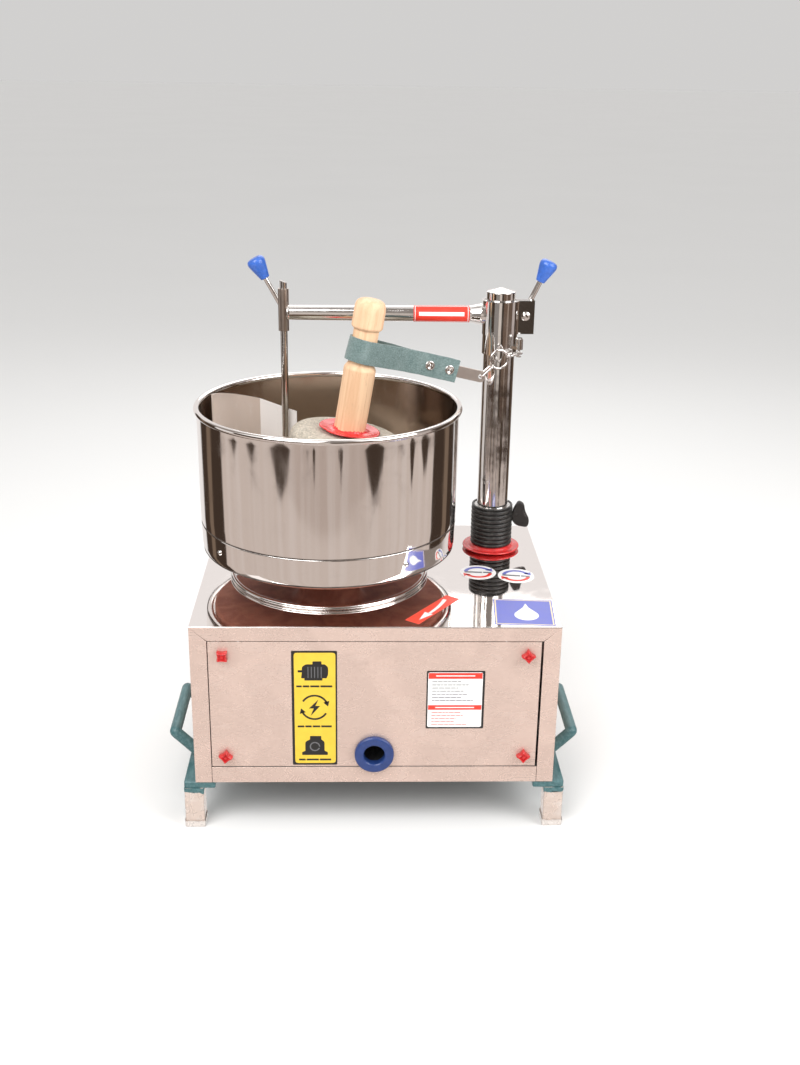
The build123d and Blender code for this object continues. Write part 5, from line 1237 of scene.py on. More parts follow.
@dataclass(frozen=True)
class Post:
    """Upright post with its boot, flange, wing screw, cap and collar."""

    radius: float = 21.0
    ribs: int = 9
    cone: float = 4.5

    def build(self) -> None:
        """Makes every piece of the post."""
        self.tube()
        self.cap()
        self.boot()
        self.flange()
        self.wing()
        dress("post_socket", Stock.STEEL)
        dress("stop_collar", Stock.CHROME)

    def axes(self) -> Axes:
        """The post's upright axis."""
        middle = Span.of("post_tube").middle
        return Axes.upright(middle.x, middle.y)

    def tube(self) -> None:
        """Bright tube."""
        span = Span.of("post_tube")
        r = self.radius
        levels = [span.low.z + (span.high.z - 2 - span.low.z) * t / 6 for t in range(7)]
        profile = [(r - 2, span.low.z)] + [(r, h) for h in levels] + [(r - 0.4, span.high.z - 0.5),
                                                                     (r - 1.2, span.high.z), (r - 2, span.high.z)]
        Shape("post_tube_bright").lathe(self.axes(), profile, 96).piece(
            Body.CHASSIS, "polished_steel", Stock.CHROME, ["post_tube"])

    def cap(self) -> None:
        """Pressed cap with a low cone and a bright tip."""
        span = Span.of("post_cap")
        r = (span.high.x - span.low.x) / 2
        plug = self.radius - 2.4
        seat = Span.of("post_tube").high.z
        edge = span.high.z - self.cone
        profile = eased([(0, span.low.z), (plug, span.low.z), (plug, seat + 0.1), (r - 0.4, seat + 0.1, 0.3),
                         (r, seat + 1.2, 0.6), (r, edge - 0.6, 0.8), (r - 0.8, edge + 0.1, 0.8),
                         (3.8, span.high.z - 0.9, 0.8), (2.4, span.high.z, 0.8), (0, span.high.z)], steps=4)
        Shape("post_cap_pressed").lathe(self.axes(), profile, 64).piece(
            Body.CHASSIS, "polished_steel", Stock.CHROME, ["post_cap"])

    def boot(self) -> None:
        """Ribbed rubber, its ribs a little uneven."""
        span = Span.of("post_boot")
        inner, outer = 24.6, (span.high.y - span.low.y) / 2
        low, top = span.low.z, span.high.z
        pitch = (top - low - 3) / self.ribs
        profile = [(inner, low), (outer - 2.4, low)]
        for rib in range(self.ribs):
            base = low + rib * pitch
            profile += [(outer - 0.9, base + 0.14 * pitch), (outer - 0.15, base + 0.30 * pitch),
                        (outer - 0.05, base + 0.5 * pitch), (outer - 0.2, base + 0.68 * pitch),
                        (outer - 1.0, base + 0.82 * pitch), (outer - 2.5, base + 0.97 * pitch)]
        profile += [(outer - 0.7, top - 2.2), (outer - 0.4, top - 1.2), (outer - 0.9, top - 0.2), (inner + 1, top), (inner, top - 0.6)]

        def sag(radius: float, height: float, turn: float) -> tuple[float, float]:
            """Height that dips a little round the boot."""
            share = math.sin(math.pi * (height - low) / (top - low))
            return radius, height + 0.5 * share * math.sin(turn + 0.4) - 0.2 * share

        Shape("post_boot_ribbed").lathe(self.axes(), profile, 96, sag).piece(
            Body.CHASSIS, "black_rubber", Stock.RUBBER, ["post_boot"], sharp=70)

    def flange(self) -> None:
        """Dished red collar with a soft outer lip."""
        span = Span.of("post_flange")
        outer = (span.high.x - span.low.x) / 2
        low = span.low.z
        profile = eased([(24.7, low), (30, low, 2), (outer - 1, low + 2.9, 1), (outer, low + 4.2, 1.2), (outer - 1.2, low + 5.4, 1.2),
                         (31, low + 3.6, 4), (27.6, low + 7.6, 1.5), (24.7, low + 8)], steps=4)

        def wave(radius: float, height: float, turn: float) -> tuple[float, float]:
            """Lip that rises and falls slightly."""
            share = max(0.0, (radius - 30) / (outer - 30))
            return radius, height + 0.35 * share * math.sin(3 * turn + 1.0) * (1 if height > low + 1 else 0)

        Shape("post_flange_dished").lathe(self.axes(), profile, 96, wave).piece(
            Body.CHASSIS, "red_plastic", Stock.RED, ["post_flange"])

    def wing(self) -> None:
        """Two-lobed screw head on its shank."""
        span = Span.of("wing_knob")
        z = 329.0
        y = span.middle.y
        axes = Axes(Vector((0, y, 0)), Vector((1, 0, 0)), Vector((0, 0, 1)), Vector((0, -1, 0)))
        outline = eased([(190.5, z - 8, 6), (191.5, z + 6, 5), (195.5, z + 14, 5), (199.5, z + 20.2, 6), (207.2, z + 16.5, 6),
                         (209.0, z + 5, 8), (215.9, z - 7.5, 6), (213.5, z - 19.2, 7), (203.0, z - 17.5, 6), (196, z - 15.2, 5)],
                        steps=5)
        centre = Vector((sum(p[0] for p in outline) / len(outline), sum(p[1] for p in outline) / len(outline)))

        def shrunk(share: float) -> list[tuple[float, float]]:
            """The outline drawn in toward its middle."""
            return [tuple(centre + (Vector(p) - centre) * share) for p in outline]

        layers = [(0.55, -3.0), (0.80, -4.4), (0.93, -4.0), (0.985, -2.6), (1.0, 0.0), (0.985, 2.6), (0.93, 4.0),
                  (0.80, 4.4), (0.55, 3.0)]
        shape = Shape("wing_screw_head")
        shape.stack(axes, [(shrunk(s), h) for s, h in layers])
        shank = Axes.facing((184.2, y, z), (1, 0, 0), (0, 0, 1))
        shape.lathe(shank, eased([(0, 0), (4, 0, 0.4), (4, 14), (0, 14)]), 32)
        shape.piece(Body.WING, "black_plastic", Stock.BLACK, ["wing_knob"], sharp=50)


# ---------------------------------------------------------------- arm


@dataclass(frozen=True)
class Arm:
    """Arm, its clamp, both levers and the scraper."""

    lever_lean: float = 25.0
    lock_lean: float = -29.0
    clamp_end: float = 76.0
    lock_end: float = 79.0
    knob_long: float = 30.0

    def build(self) -> None:
        """Makes every piece of the arm."""
        dress("arm_clamp", Stock.CHROME)
        self.tube()
        dress("rod_sleeve", Stock.SLEEVE)
        dress("clamp_bolt", Stock.CHROME)
        dress("clamp_lever", Stock.CHROME)
        dress("rod_lock_lever", Stock.CHROME)
        dress("scraper_rod", Stock.ROD)
        dress("scraper_blade", Stock.BLADE)
        bolt = Span.of("clamp_bolt").middle
        self.lever_knob("clamp_lever_knob", Vector((bolt.x, 0, bolt.z)), self.lever_lean, Body.CLAMP_HANDLE,
                        self.clamp_end)
        rod = Span.of("scraper_rod").middle
        self.lever_knob("rod_lock_knob", Vector((rod.x, 0, bolt.z)), self.lock_lean, Body.LOCK_HANDLE, self.lock_end)
        self.label()

    def tube(self) -> None:
        """Bright tube, a little thicker towards the post, with its welds."""
        span = Span.of("arm_tube")
        x0, x1 = span.low.x, span.high.x
        axes = Axes.facing((0, span.middle.y, span.middle.z), (1, 0, 0), (0, 0, 1))
        profile = eased([(0, x0 + 0.3), (9.9, x0 + 0.3, 0.8), (10.1, x0 + 1.8, 0.8), (9.65, x0 + 3.4, 1.2),
                         (9.75, x0 + 20), (10.35, 20), (10.9, 123, 3), (12.6, 131, 4), (14.0, 137.5, 2),
                         (14.1, x1, 0.5), (0, x1)], steps=5)
        Shape("arm_tube_bright").lathe(axes, profile, 96).piece(
            Body.ARM, "polished_steel", Stock.CHROME, ["arm_tube"])

    def lever_knob(self, node: str, pivot: Vector, lean: float, body: Body, end: float) -> None:
        """Conical knob with shallow flats and a domed end.

        Args:
            node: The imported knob.
            pivot: Point on the lever's axis.
            lean: Lean of the stem from upright, in degrees.
            body: Body that the knob moves with.
            end: Distance from the pivot to the knob's end.
        """
        y = Span.of(node).middle.y
        turn = math.radians(lean)
        axes = Axes.facing((pivot.x, y, pivot.z), (math.sin(turn), 0, math.cos(turn)), (0, 1, 0))
        start = end - self.knob_long
        profile = eased([(0, start + 1), (3.3, start), (6.0, start, 0.8), (6.7, start + 2.5, 1.5), (11.8, end - 9.5, 2),
                         (12.2, end - 5.5, 3), (10.2, end - 1.4, 3), (5.5, end - 0.1, 2), (0, end)], steps=5)

        def flats(radius: float, height: float, angle: float) -> tuple[float, float]:
            """Radius with eight shallow flats."""
            if radius < 5:
                return radius, height
            sector = math.pi / 4
            off = (angle % sector) - sector / 2
            flat = math.cos(sector / 2) / math.cos(off)
            return radius * (0.35 * flat + 0.65), height

        Shape(node + "_moulded").lathe(axes, profile, 64, flats).piece(body, "blue_plastic", Stock.BLUE, [node])

    def label(self) -> None:
        """Red band round the front of the arm, with a pale line inside its edge."""
        span = Span.of("arm_label")
        tube = Span.of("arm_tube").middle
        centre = Vector((0, tube.y, tube.z))
        x0, x1 = span.low.x, span.high.x
        r = 10.75
        shape = Shape("arm_sticker")
        self.wrap(shape, centre, x0, x1, 100, 240, r + 0.02, r + 0.26, 0)
        for low, high, a, b in ((x0 + 1.6, x1 - 1.6, 229, 233), (x0 + 1.6, x1 - 1.6, 107, 111),
                                (x0 + 1.6, x0 + 2.4, 107, 233), (x1 - 2.4, x1 - 1.6, 107, 233),
                                (x0 + 7, x1 - 7, 158, 184)):
            self.wrap(shape, centre, low, high, a, b, r + 0.2, r + 0.30, 1)
        shape.piece(Body.ARM, "sticker_film", [Stock.RED_INK, Stock.WHITE_INK], ["arm_label"], even=False)

    def wrap(self, shape: Shape, centre: Vector, x0: float, x1: float, start: float, end: float, inner: float,
             outer: float, ink: int) -> None:
        """Curved patch on the arm.

        Args:
            shape: Shape that takes the patch.
            centre: Point on the arm's axis.
            x0: One end along the arm.
            x1: The other end.
            start: First angle round the arm, in degrees, from the back over the top.
            end: Last angle.
            inner: Inside radius.
            outer: Outside radius.
            ink: Index of the finish.
        """
        rings = []
        steps = 24
        for step in range(steps + 1):
            a = math.radians(start + (end - start) * step / steps)
            ring = []
            for x, r in ((x0, inner), (x1, inner), (x1, outer), (x0, outer)):
                taper = r - 0.75 * (1 - (x + 103) / 228) * 1.0 + 0.22
                ring.append(shape.mesh.verts.new(centre + Vector((x, math.cos(a) * taper, math.sin(a) * taper))))
            rings.append(ring)
        shape.ring_skin(rings, False, ink)
        shape.mesh.faces.new(rings[0][::-1]).material_index = ink
        shape.mesh.faces.new(rings[-1]).material_index = ink


# ---------------------------------------------------------------- roller and tether


@dataclass(frozen=True)
class Roller:
    """Roller stone, its red collar and the wooden handle."""

    lean: float = 9.3
    top: tuple[float, float, float] = (-34.0, 0.0, 472.0)
    stone_r: float = 75.0
    ball_r: float = 66.0
    ball_t: float = -62.0

    def build(self) -> None:
        """Makes every piece of the roller."""
        self.stone()
        self.collar()
        self.handle()

    def axes(self) -> Axes:
        """The roller's leaning axis."""
        turn = math.radians(self.lean)
        return Axes.facing(self.top, (math.sin(turn), 0, math.cos(turn)), (0, -1, 0))

    def stone(self) -> None:
        """Dressed stone: flat top, eased shoulder, slight cone and round bottom."""
        r, b = self.stone_r - 0.25, self.ball_r - 0.25
        profile = [(0, -30), (11.9, -30), (11.9, -1), (13, -0.2)]
        profile += [(13 + (r - 15 - 13) * t, -0.2) for t in (0.2, 0.4, 0.6, 0.8, 1.0)]
        profile += arc(r - 15, -15.2, 15, 84, 0, 12)
        profile += [(r + (b - r) * t, -15.2 + (self.ball_t + 15.2) * t) for t in (0.2, 0.4, 0.6, 0.8)]
        profile += arc(0, self.ball_t, b, 0, -90, 26)[:-1] + [(0, self.ball_t - b)]
        shape = Shape("roller_stone_dressed").lathe(self.axes(), profile, 140)
        centre = self.axes()
        shape.rumple(5.0, 0.3, 9.0, lambda spot: 1.0 if (spot - centre.origin).length > 16 else 0.0)
        shape.piece(Body.ROLLER, "granite", Stock.GRANITE, ["roller_stone"], sharp=80, even=False)

    def collar(self) -> None:
        """Dished red collar with an uneven edge, smeared up the handle's foot."""
        profile = eased([(20.0, 0.1), (26, 0.1, 2), (38.8, 3.6, 1), (40.2, 5.0, 1), (38.6, 6.2, 1.2), (28, 3.4, 4),
                         (23.0, 4.0, 2), (20.9, 6.0, 0.8), (20.0, 6.0)], steps=4)

        def uneven(radius: float, height: float, turn: float) -> tuple[float, float]:
            """Edge that wanders in and out, and up and down."""
            wander = noise.noise(Vector((math.cos(turn) * 2.2, math.sin(turn) * 2.2, 0.3)))
            fine = noise.noise(Vector((math.cos(turn) * 7, math.sin(turn) * 7, 3.3)))
            outer = max(0.0, (radius - 30) / 10)
            climb = max(0.0, (23.0 - radius) / 3) if height > 2 else 0.0
            return radius - outer * (0.7 + 1.0 * wander + 0.5 * fine), height + outer * 0.5 * wander + climb * (
                1.8 * wander + 2.0 * fine)

        Shape("stone_collar_dished").lathe(self.axes(), profile, 120, uneven).piece(
            Body.ROLLER, "red_plastic", Stock.RED, ["stone_collar"])

    def handle(self) -> None:
        """Turned grip, neck and rounded head."""
        profile = eased([(0, -30), (11.9, -30), (11.9, 0), (20.2, 0), (20.3, 40), (20.3, 84.5, 1.6), (16.0, 91, 2.0), (16.0, 134, 1.5),
                         (18.6, 135.6, 1), (19.8, 137.6, 2), (19.8, 161, 6), (18.0, 168.6, 5), (12.0, 172, 6), (0, 172)],
                        steps=6)
        shape = Shape("wood_handle_turned").lathe(self.axes(), profile, 72)
        shape.rumple(14.0, 0.25, 6.0)
        shape.piece(Body.ROLLER, "turned_wood", TurnedWood("pale_turned_wood", lean=self.lean), ["wood_handle"], sharp=55)


@dataclass(frozen=True)
class Tether:
    """Strap round the handle's neck, its rivets, steel tongue and chain."""

    at: float = 107.4
    turn: float = 16.0
    drop: float = 15.2
    width: float = 30.0
    loop_r: float = 19.4
    join: float = 60.0
    end: float = 130.4
    rivets: tuple[float, float] = (91.2, 118.8)
    hole: float = 164.0
    tongue: tuple[float, float, float, float] = (84.0, 170.0, 15.0, 2.0)
    wire: float = 1.55
    ring_r: float = 12.0
    ring_at: tuple[float, float, float] = (159.9, 50.7, 556.0)
    ring_low: float = 39.0
    ring_high: float = 20.0
    pin: tuple[float, float, float, float] = (33.5, -45.0, 561.0, 1.6)

    def build(self, roller: Roller, post: Post) -> None:
        """Makes every piece of the tether."""
        axes = self.axes(roller)
        self.strap(axes)
        self.rivet_heads(axes)
        self.steel_tongue(axes)
        self.chain(axes, post)

    def axes(self, roller: Roller) -> Axes:
        """Axes of the strap's edge: x to the post, y through its thickness and z across its width."""
        turn, drop = math.radians(self.turn), math.radians(self.drop)
        along = Vector((math.cos(turn) * math.cos(drop), math.sin(turn) * math.cos(drop), -math.sin(drop)))
        across = Vector((math.cos(turn) * math.sin(drop), math.sin(turn) * math.sin(drop), math.cos(drop)))
        return Axes(roller.axes().at(0, 0, self.at), along, across.cross(along), across)

    def strap(self, axes: Axes) -> None:
        """One band round the neck and back, its two layers closing on the tongue."""
        line = self.strap_line()
        count = len(line)
        shape = Shape("suede_strap_band")
        rows = 9
        rings = []
        for index, (x, y, thick) in enumerate(line):
            before, after = line[max(0, index - 1)], line[min(count - 1, index + 1)]
            ahead = Vector((after[0] - before[0], after[1] - before[1])).normalized()
            normal = Vector((-ahead.y, ahead.x))
            wobble = 0.5 * noise.noise(Vector((index * 0.21, 4.2, 0.5)))
            half = self.width / 2 - 0.35
            lows = [-half + wobble + (2 * half) * row / (rows - 1) for row in range(rows)]
            outside = [(x + normal.x * thick / 2, y + normal.y * thick / 2, z) for z in lows]
            inside = [(x - normal.x * thick / 2, y - normal.y * thick / 2, z) for z in reversed(lows)]
            rings.append([shape.mesh.verts.new(axes.at(*spot)) for spot in outside + inside])
        shape.ring_skin(rings, False)
        shape.mesh.faces.new(rings[0][::-1])
        shape.mesh.faces.new(rings[-1])
        shape.rumple(6.0, 0.18, 12.0)
        shape.piece(Body.CHASSIS, "suede_strap", Stock.SUEDE, ["strap"], sharp=50, bevel=0.35, even=False)

    def strap_line(self) -> list[tuple[float, float, float]]:
        """Middle line of the band as (along, through, thickness), from one end round the loop to the other."""
        thin, thick = 1.25, 2.1
        lean = math.degrees(math.acos(self.loop_r / self.join))
        half = []
        steps = 26
        for step in range(steps):
            t = step / steps
            x = self.end + (self.join - self.end) * t
            share = min(1.0, max(0.0, (84 - x) / 14))
            half.append((x, 1.72 + (1.25 - 1.72) * share, thin + (thick - thin) * share))
        tangent = (self.loop_r * math.cos(math.radians(lean)), self.loop_r * math.sin(math.radians(lean)))
        for step in range(16):
            t = step / 15
            x = self.join + (tangent[0] - self.join) * t
            half.append((x, 1.25 + (tangent[1] - 1.25) * t, thick))
        loop = [(x, y, thick) for x, y in arc(0, 0, self.loop_r, lean + 3, 357 - lean, 54)]
        mirrored = [(x, -y, t) for x, y, t in reversed(half)]
        return half + loop + mirrored

    def rivet_heads(self, axes: Axes) -> None:
        """Dished heads on both faces."""
        shape = Shape("strap_rivet_heads")
        for at in self.rivets:
            for face in (-1, 1):
                seat = Axes(axes.at(at, face * 2.3, 0), axes.x, axes.z, axes.y * face)
                shape.lathe(seat, [(0, -1.5), (2.3, -1.5), (2.3, -0.2), (6.2, -0.1), (6.3, 0.6), (5.7, 1.3), (4.8, 1.5),
                                   (3.8, 1.3), (2.6, 0.7), (1.5, 0.65), (0.7, 1.1), (0, 1.2)], 40)
        shape.piece(Body.CHASSIS, "polished_steel", Stock.CHROME, ["strap_rivets"], sharp=60)

    def steel_tongue(self, axes: Axes) -> None:
        """Flat strip with a hole for the chain, its end rounded."""
        start, end, width, thick = self.tongue
        face = Axes(axes.origin, axes.x, axes.z, -axes.y)
        shape = Shape("steel_tongue_strip")
        half = width / 2
        strip = eased([(start, -half), (self.hole - 9, -half), (self.hole - 9, half), (start, half)])
        shape.prism(face, strip, -thick / 2, thick / 2)
        steps = 32
        outer, inner = [], []
        for step in range(steps):
            a = 2 * math.pi * (step + 0.5) / steps
            c, s = math.cos(a), math.sin(a)
            reach_x = (end - self.hole) if c > 0 else 9.0
            size = min(reach_x / max(abs(c), 1e-6), half / max(abs(s), 1e-6))
            if c > 0:
                size = min(size, 7.6)
            outer.append((self.hole + c * size, s * size))
            inner.append((self.hole + 3.2 * c, 3.2 * s))
        shape.band(face, outer, inner, -thick / 2, thick / 2)
        shape.piece(Body.CHASSIS, "polished_steel", Stock.TONGUE, ["strap_link"], sharp=35, bevel=0.3)

    def chain(self, axes: Axes, post: Post) -> None:
        """Oval link, round ring and second oval link, in bright wire."""
        hole = axes.at(self.hole, 0)
        turn = math.radians(self.turn)
        along = Vector((math.cos(turn), math.sin(turn), 0))
        centre = Vector(self.ring_at)
        ring = Axes(centre, along, Vector((0, 0, 1)), axes.y)
        low = ring.polar(self.ring_r, math.radians(180 + self.ring_low), 0)
        high = ring.polar(self.ring_r, math.radians(self.ring_high), 0)
        reach, pin_turn, pin_z, pin_r = self.pin
        pin = post.axes().polar(reach, math.radians(pin_turn), pin_z)
        tip = pin + (pin - high).normalized() * (pin_r + self.wire + 0.1)
        shape = Shape("tether_chain_links")
        side = Vector((-axes.y.x, -axes.y.y, -axes.y.z))
        for start, end, flat in ((hole, low, side), (high, tip, Vector((0, 1, 0)))):
            self.link(shape, start, end, flat)
        circle = [ring.polar(self.ring_r, 2 * math.pi * step / 48, 0) for step in range(48)]
        shape.tube(circle, self.wire, closed=True)
        shape.piece(Body.CHASSIS, "polished_steel", Stock.CHROME, ["tether_chain"], sharp=180, even=False)

    def link(self, shape: Shape, start: Vector, end: Vector, flat: Vector) -> None:
        """Oval of round wire whose ends pass through two points."""
        along = (end - start).normalized()
        normal = along.cross(flat).normalized()
        across = normal.cross(along)
        middle, length, half = (start + end) / 2, (end - start).length, 4.3
        straight = length / 2 - half
        path = []
        for step in range(40):
            a = 2 * math.pi * step / 40
            shift = straight if math.cos(a) > 0 else -straight
            path.append(middle + along * (shift + half * math.cos(a)) + across * half * math.sin(a))
        shape.tube(path, self.wire, closed=True, sides=14)


# ---------------------------------------------------------------- stickers


@dataclass(frozen=True)
class Stickers:
    """Plain printed stickers on the front panel and the top."""

    base: float = 0.24

    def build(self) -> None:
        """Makes every sticker."""
        front = Span.of("front_panel").low.y
        top = Span.of("top_plate").high.z
        self.tall_yellow(self.upright(-74.8, front, 169.2))
        self.white_card(self.upright(98.3, front, 181.4))
        self.arrow(self.flat(71.0, -123.0, top, 54.0))
        self.round("left", self.flat(137.5, -3.5, top, -4.0))
        self.round("right", self.flat(187.0, -15.0, top, -8.0))
        self.number(self.flat(183.3, -131.5, top, -4.0))

    def upright(self, x: float, y: float, z: float) -> Axes:
        """Axes on the front panel."""
        return Axes(Vector((x, y, z)), Vector((1, 0, 0)), Vector((0, 0, 1)), Vector((0, -1, 0)))

    def flat(self, x: float, y: float, z: float, turn: float) -> Axes:
        """Axes on the top, turned by an angle in degrees."""
        a = math.radians(turn)
        return Axes(Vector((x, y, z)), Vector((math.cos(a), math.sin(a), 0)), Vector((-math.sin(a), math.cos(a), 0)),
                    Vector((0, 0, 1)))

    def patch(self, shape: Shape, axes: Axes, outline: Sequence[Point2], layer: int, ink: int) -> None:
        """Printed patch on a layer above the film."""
        shape.prism(axes, outline, 0.0 if layer == 0 else self.base - 0.02, self.base + 0.02 * layer, ink)

    def done(self, shape: Shape, inks: Sequence[Finish]) -> None:
        """Dresses a sticker and lets it ride."""
        shape.piece(Body.CHASSIS, "sticker_film", inks, ["labels"], even=False)

    def frame_line(self, shape: Shape, axes: Axes, width: float, height: float, line: float, ink: int) -> None:
        """Thin printed frame."""
        outer = box_outline(width, height)
        inner = box_outline(width - 2 * line, height - 2 * line)
        shape.band(axes, [p[:2] for p in outer], [p[:2] for p in inner], self.base - 0.02, self.base + 0.02, ink)

    def dashes(self, shape: Shape, axes: Axes, row: Sequence[float], height: float, gap: float, ink: int) -> None:
        """Row of plain bars of uneven length.

        Args:
            shape: Shape that takes the bars.
            axes: The sticker's axes.
            row: Start, end and middle height of the row.
            height: Height of a bar.
            gap: Space between bars.
            ink: Index of the finish.
        """
        x, end, y = row
        while x < end - gap:
            long = min(end - x, random.uniform(2.5, 7.0) * height)
            self.patch(shape, axes, box_2d(long, height, x + long / 2, y), 2, ink)
            x += long + gap

    def tall_yellow(self, axes: Axes) -> None:
        """Yellow strip with a plain motor, a pair of turning arrows and a plain gearbox."""
        random.seed(31)
        shape = Shape("sticker_tall_yellow")
        self.patch(shape, axes, eased(box_outline(55.5, 158.0, 1.5)), 0, 0)
        self.patch(shape, axes, eased(box_outline(50.5, 153.0, 4.0, 0.6)), 1, 1)
        motor = [(-16, 42, 1), (-12, 42), (-12, 39), (10, 39), (10, 42), (15, 42, 1), (17, 47, 2), (17, 57, 2), (13, 61, 2),
                 (9, 61), (9, 65, 1), (-2, 65, 1), (-2, 61), (-11, 61, 3), (-15, 57, 2), (-15, 53), (-20, 53), (-20, 50),
                 (-15, 50)]
        self.patch(shape, axes, eased(motor), 2, 0)
        for x in (-7.5, -3.5, 0.5, 4.5, 8.5):
            self.patch(shape, axes, box_2d(0.9, 15, x, 50), 3, 2)
        for turn in (0, 180):
            self.patch(shape, axes, crescent(0, 2, 17.5, 15.0, turn + 22, turn + 150), 2, 0)
            a = math.radians(turn + 18)
            tip = (16.2 * math.cos(a), 2 + 16.2 * math.sin(a))
            out = (math.cos(a), math.sin(a))
            back = (-math.sin(a), math.cos(a))
            self.patch(shape, axes, [(tip[0] - 4 * out[0] + 3 * back[0], tip[1] - 4 * out[1] + 3 * back[1]),
                                     (tip[0] - 4 * back[0], tip[1] - 4 * back[1]),
                                     (tip[0] + 4 * out[0] + 3 * back[0], tip[1] + 4 * out[1] + 3 * back[1])], 2, 0)
        self.patch(shape, axes, [(-7, 0.5), (-1, 0.5), (-5, -10), (7, 4), (1, 4), (5, 13)], 2, 0)
        case = [(-16, -65, 1), (16, -65, 1), (16, -61, 1), (12, -59, 1), (12, -46, 3), (8, -43, 1), (8, -38, 1), (-6, -38, 1),
                (-6, -43, 1), (-12, -46, 3), (-12, -59, 1), (-16, -61, 1)]
        self.patch(shape, axes, eased(case), 2, 0)
        self.patch(shape, axes, crescent(0, -53, 6.5, 5.0, 0, 340), 3, 2)
        for y, half in ((31.0, 22.0), (-24.5, 21.0), (-71.5, 20.0)):
            self.dashes(shape, axes, (-half, half, y), 2.6, 1.3, 0)
        self.done(shape, [Stock.BLACK_INK, Stock.YELLOW_INK, Stock.GREY_INK])

    def white_card(self, axes: Axes) -> None:
        """White card with two red bands and rows of plain bars."""
        random.seed(21)
        shape = Shape("sticker_white_card")
        self.patch(shape, axes, eased(box_outline(71.5, 79.6, 1.5)), 0, 1)
        self.patch(shape, axes, eased(box_outline(67.0, 75.6, 2.5, -0.5)), 1, 0)
        self.patch(shape, axes, box_2d(66.0, 8.0, -0.5, 33.0), 2, 2)
        self.patch(shape, axes, box_2d(66.0, 6.5, -0.5, -10.5), 2, 2)
        for row in range(7):
            self.dashes(shape, axes, (-29, random.uniform(2, 29), 25 - 4.3 * row), 1.1, 0.7, 3)
        for row in range(5):
            self.dashes(shape, axes, (-29, random.uniform(-4, 24), -17.5 - 4.3 * row), 1.1, 0.7, 4)
        for y in (33.0, -10.5):
            self.patch(shape, axes, box_2d(48, 1.4, -0.5, y), 3, 0)
        self.done(shape, [Stock.WHITE_INK, Stock.BLACK_INK, Stock.RED_INK, Stock.GREY_INK, Stock.ROSE_INK])

    def arrow(self, axes: Axes) -> None:
        """Red strip with a pale curved arrow."""
        shape = Shape("sticker_arrow")
        self.patch(shape, axes, eased(box_outline(93, 20, 1)), 0, 0)
        spine = [(-14 + 48 * t, -3.4 + 7.4 * t * t) for t in (i / 14 for i in range(15))]
        upper = [(x, y + 1.8 + 0.9 * (x + 14) / 48) for x, y in spine]
        lower = [(x, y - 1.8 - 0.9 * (x + 14) / 48) for x, y in reversed(spine)]
        self.patch(shape, axes, upper + lower, 1, 1)
        self.patch(shape, axes, [(-13, -8.6), (-36, -3.6), (-13, 3.4)], 1, 1)
        self.done(shape, [Stock.WARM_RED_INK, Stock.WHITE_INK])

    def round(self, side: str, axes: Axes) -> None:
        """White disc with a blue and a red sweep round a plain row."""
        random.seed(5)
        shape = Shape("sticker_round_" + side)
        self.patch(shape, axes, disc(0, 0, 24.0), 0, 0)
        self.patch(shape, axes, crescent(0, 0, 19.0, 14.0, 30, 172), 1, 1)
        self.patch(shape, axes, crescent(0, 0, 19.0, 14.0, 210, 352), 1, 2)
        self.patch(shape, axes, [(9.5, 8.0), (18.5, 14.5), (19.5, 3.5)], 1, 1)
        self.patch(shape, axes, [(-9.5, -8.0), (-18.5, -14.5), (-19.5, -3.5)], 1, 2)
        self.dashes(shape, axes, (-18, 18, 0.0), 4.4, 1.4, 3)
        self.done(shape, [Stock.WHITE_INK, Stock.BLUE_INK, Stock.RED_INK, Stock.GREY_INK])

    def number(self, axes: Axes) -> None:
        """Blue plate with a cream line and a plain drop, the sign for a liquid measure."""
        shape = Shape("sticker_measure_plate")
        self.patch(shape, axes, eased(box_outline(74, 76, 1)), 0, 0)
        self.frame_line(shape, axes, 71.0, 73.0, 1.7, 1)
        drop = arc(3, -9, 15, 150, 390, 28) + [(6.5, 14), (3, 26), (-0.5, 14)]
        self.patch(shape, axes, drop, 1, 2)
        self.done(shape, [Stock.BLUE_INK, Stock.CREAM_INK, Stock.WHITE_INK])


def pierced(width: float, height: float, x: float, y: float, hole: float) -> tuple[list, list]:
    """Rectangle round (x, y) and a round hole at the origin, point for point.

    Args:
        width: The rectangle's width.
        height: The rectangle's height.
        x: Middle of the rectangle across from the hole.
        y: Middle of the rectangle up from the hole.
        hole: Radius of the hole.

    Returns:
        The outer and the inner outline.
    """
    corners = [math.atan2(cy, cx) for cx, cy in box_2d(width, height, x, y)]
    turns = sorted(corners + [math.pi * (step + 0.5) / 30 - math.pi for step in range(60)])
    outer = []
    for a in turns:
        c, s = math.cos(a), math.sin(a)
        across = ((x + width / 2) if c > 0 else (width / 2 - x)) / max(abs(c), 1e-9)
        upward = ((y + height / 2) if s > 0 else (height / 2 - y)) / max(abs(s), 1e-9)
        outer.append((c * min(across, upward), s * min(across, upward)))
    return outer, [(hole * math.cos(a), hole * math.sin(a)) for a in turns]


def box_2d(width: float, height: float, x: float = 0.0, y: float = 0.0) -> list[tuple[float, float]]:
    """Plain rectangle round (x, y)."""
    return [corner[:2] for corner in box_outline(width, height, 0, x, y)]


def disc(x: float, y: float, radius: float) -> list[tuple[float, float]]:
    """Circle as an outline."""
    return arc(x, y, radius, 0, 352.5, 47)


def crescent(x: float, y: float, outer: float, inner: float, start: float, end: float) -> list[tuple[float, float]]:
    """Curved bar between two radii and two angles."""
    return arc(x, y, outer, start, end, 20) + arc(x, y, inner, end, start, 20)


# ---------------------------------------------------------------- drive


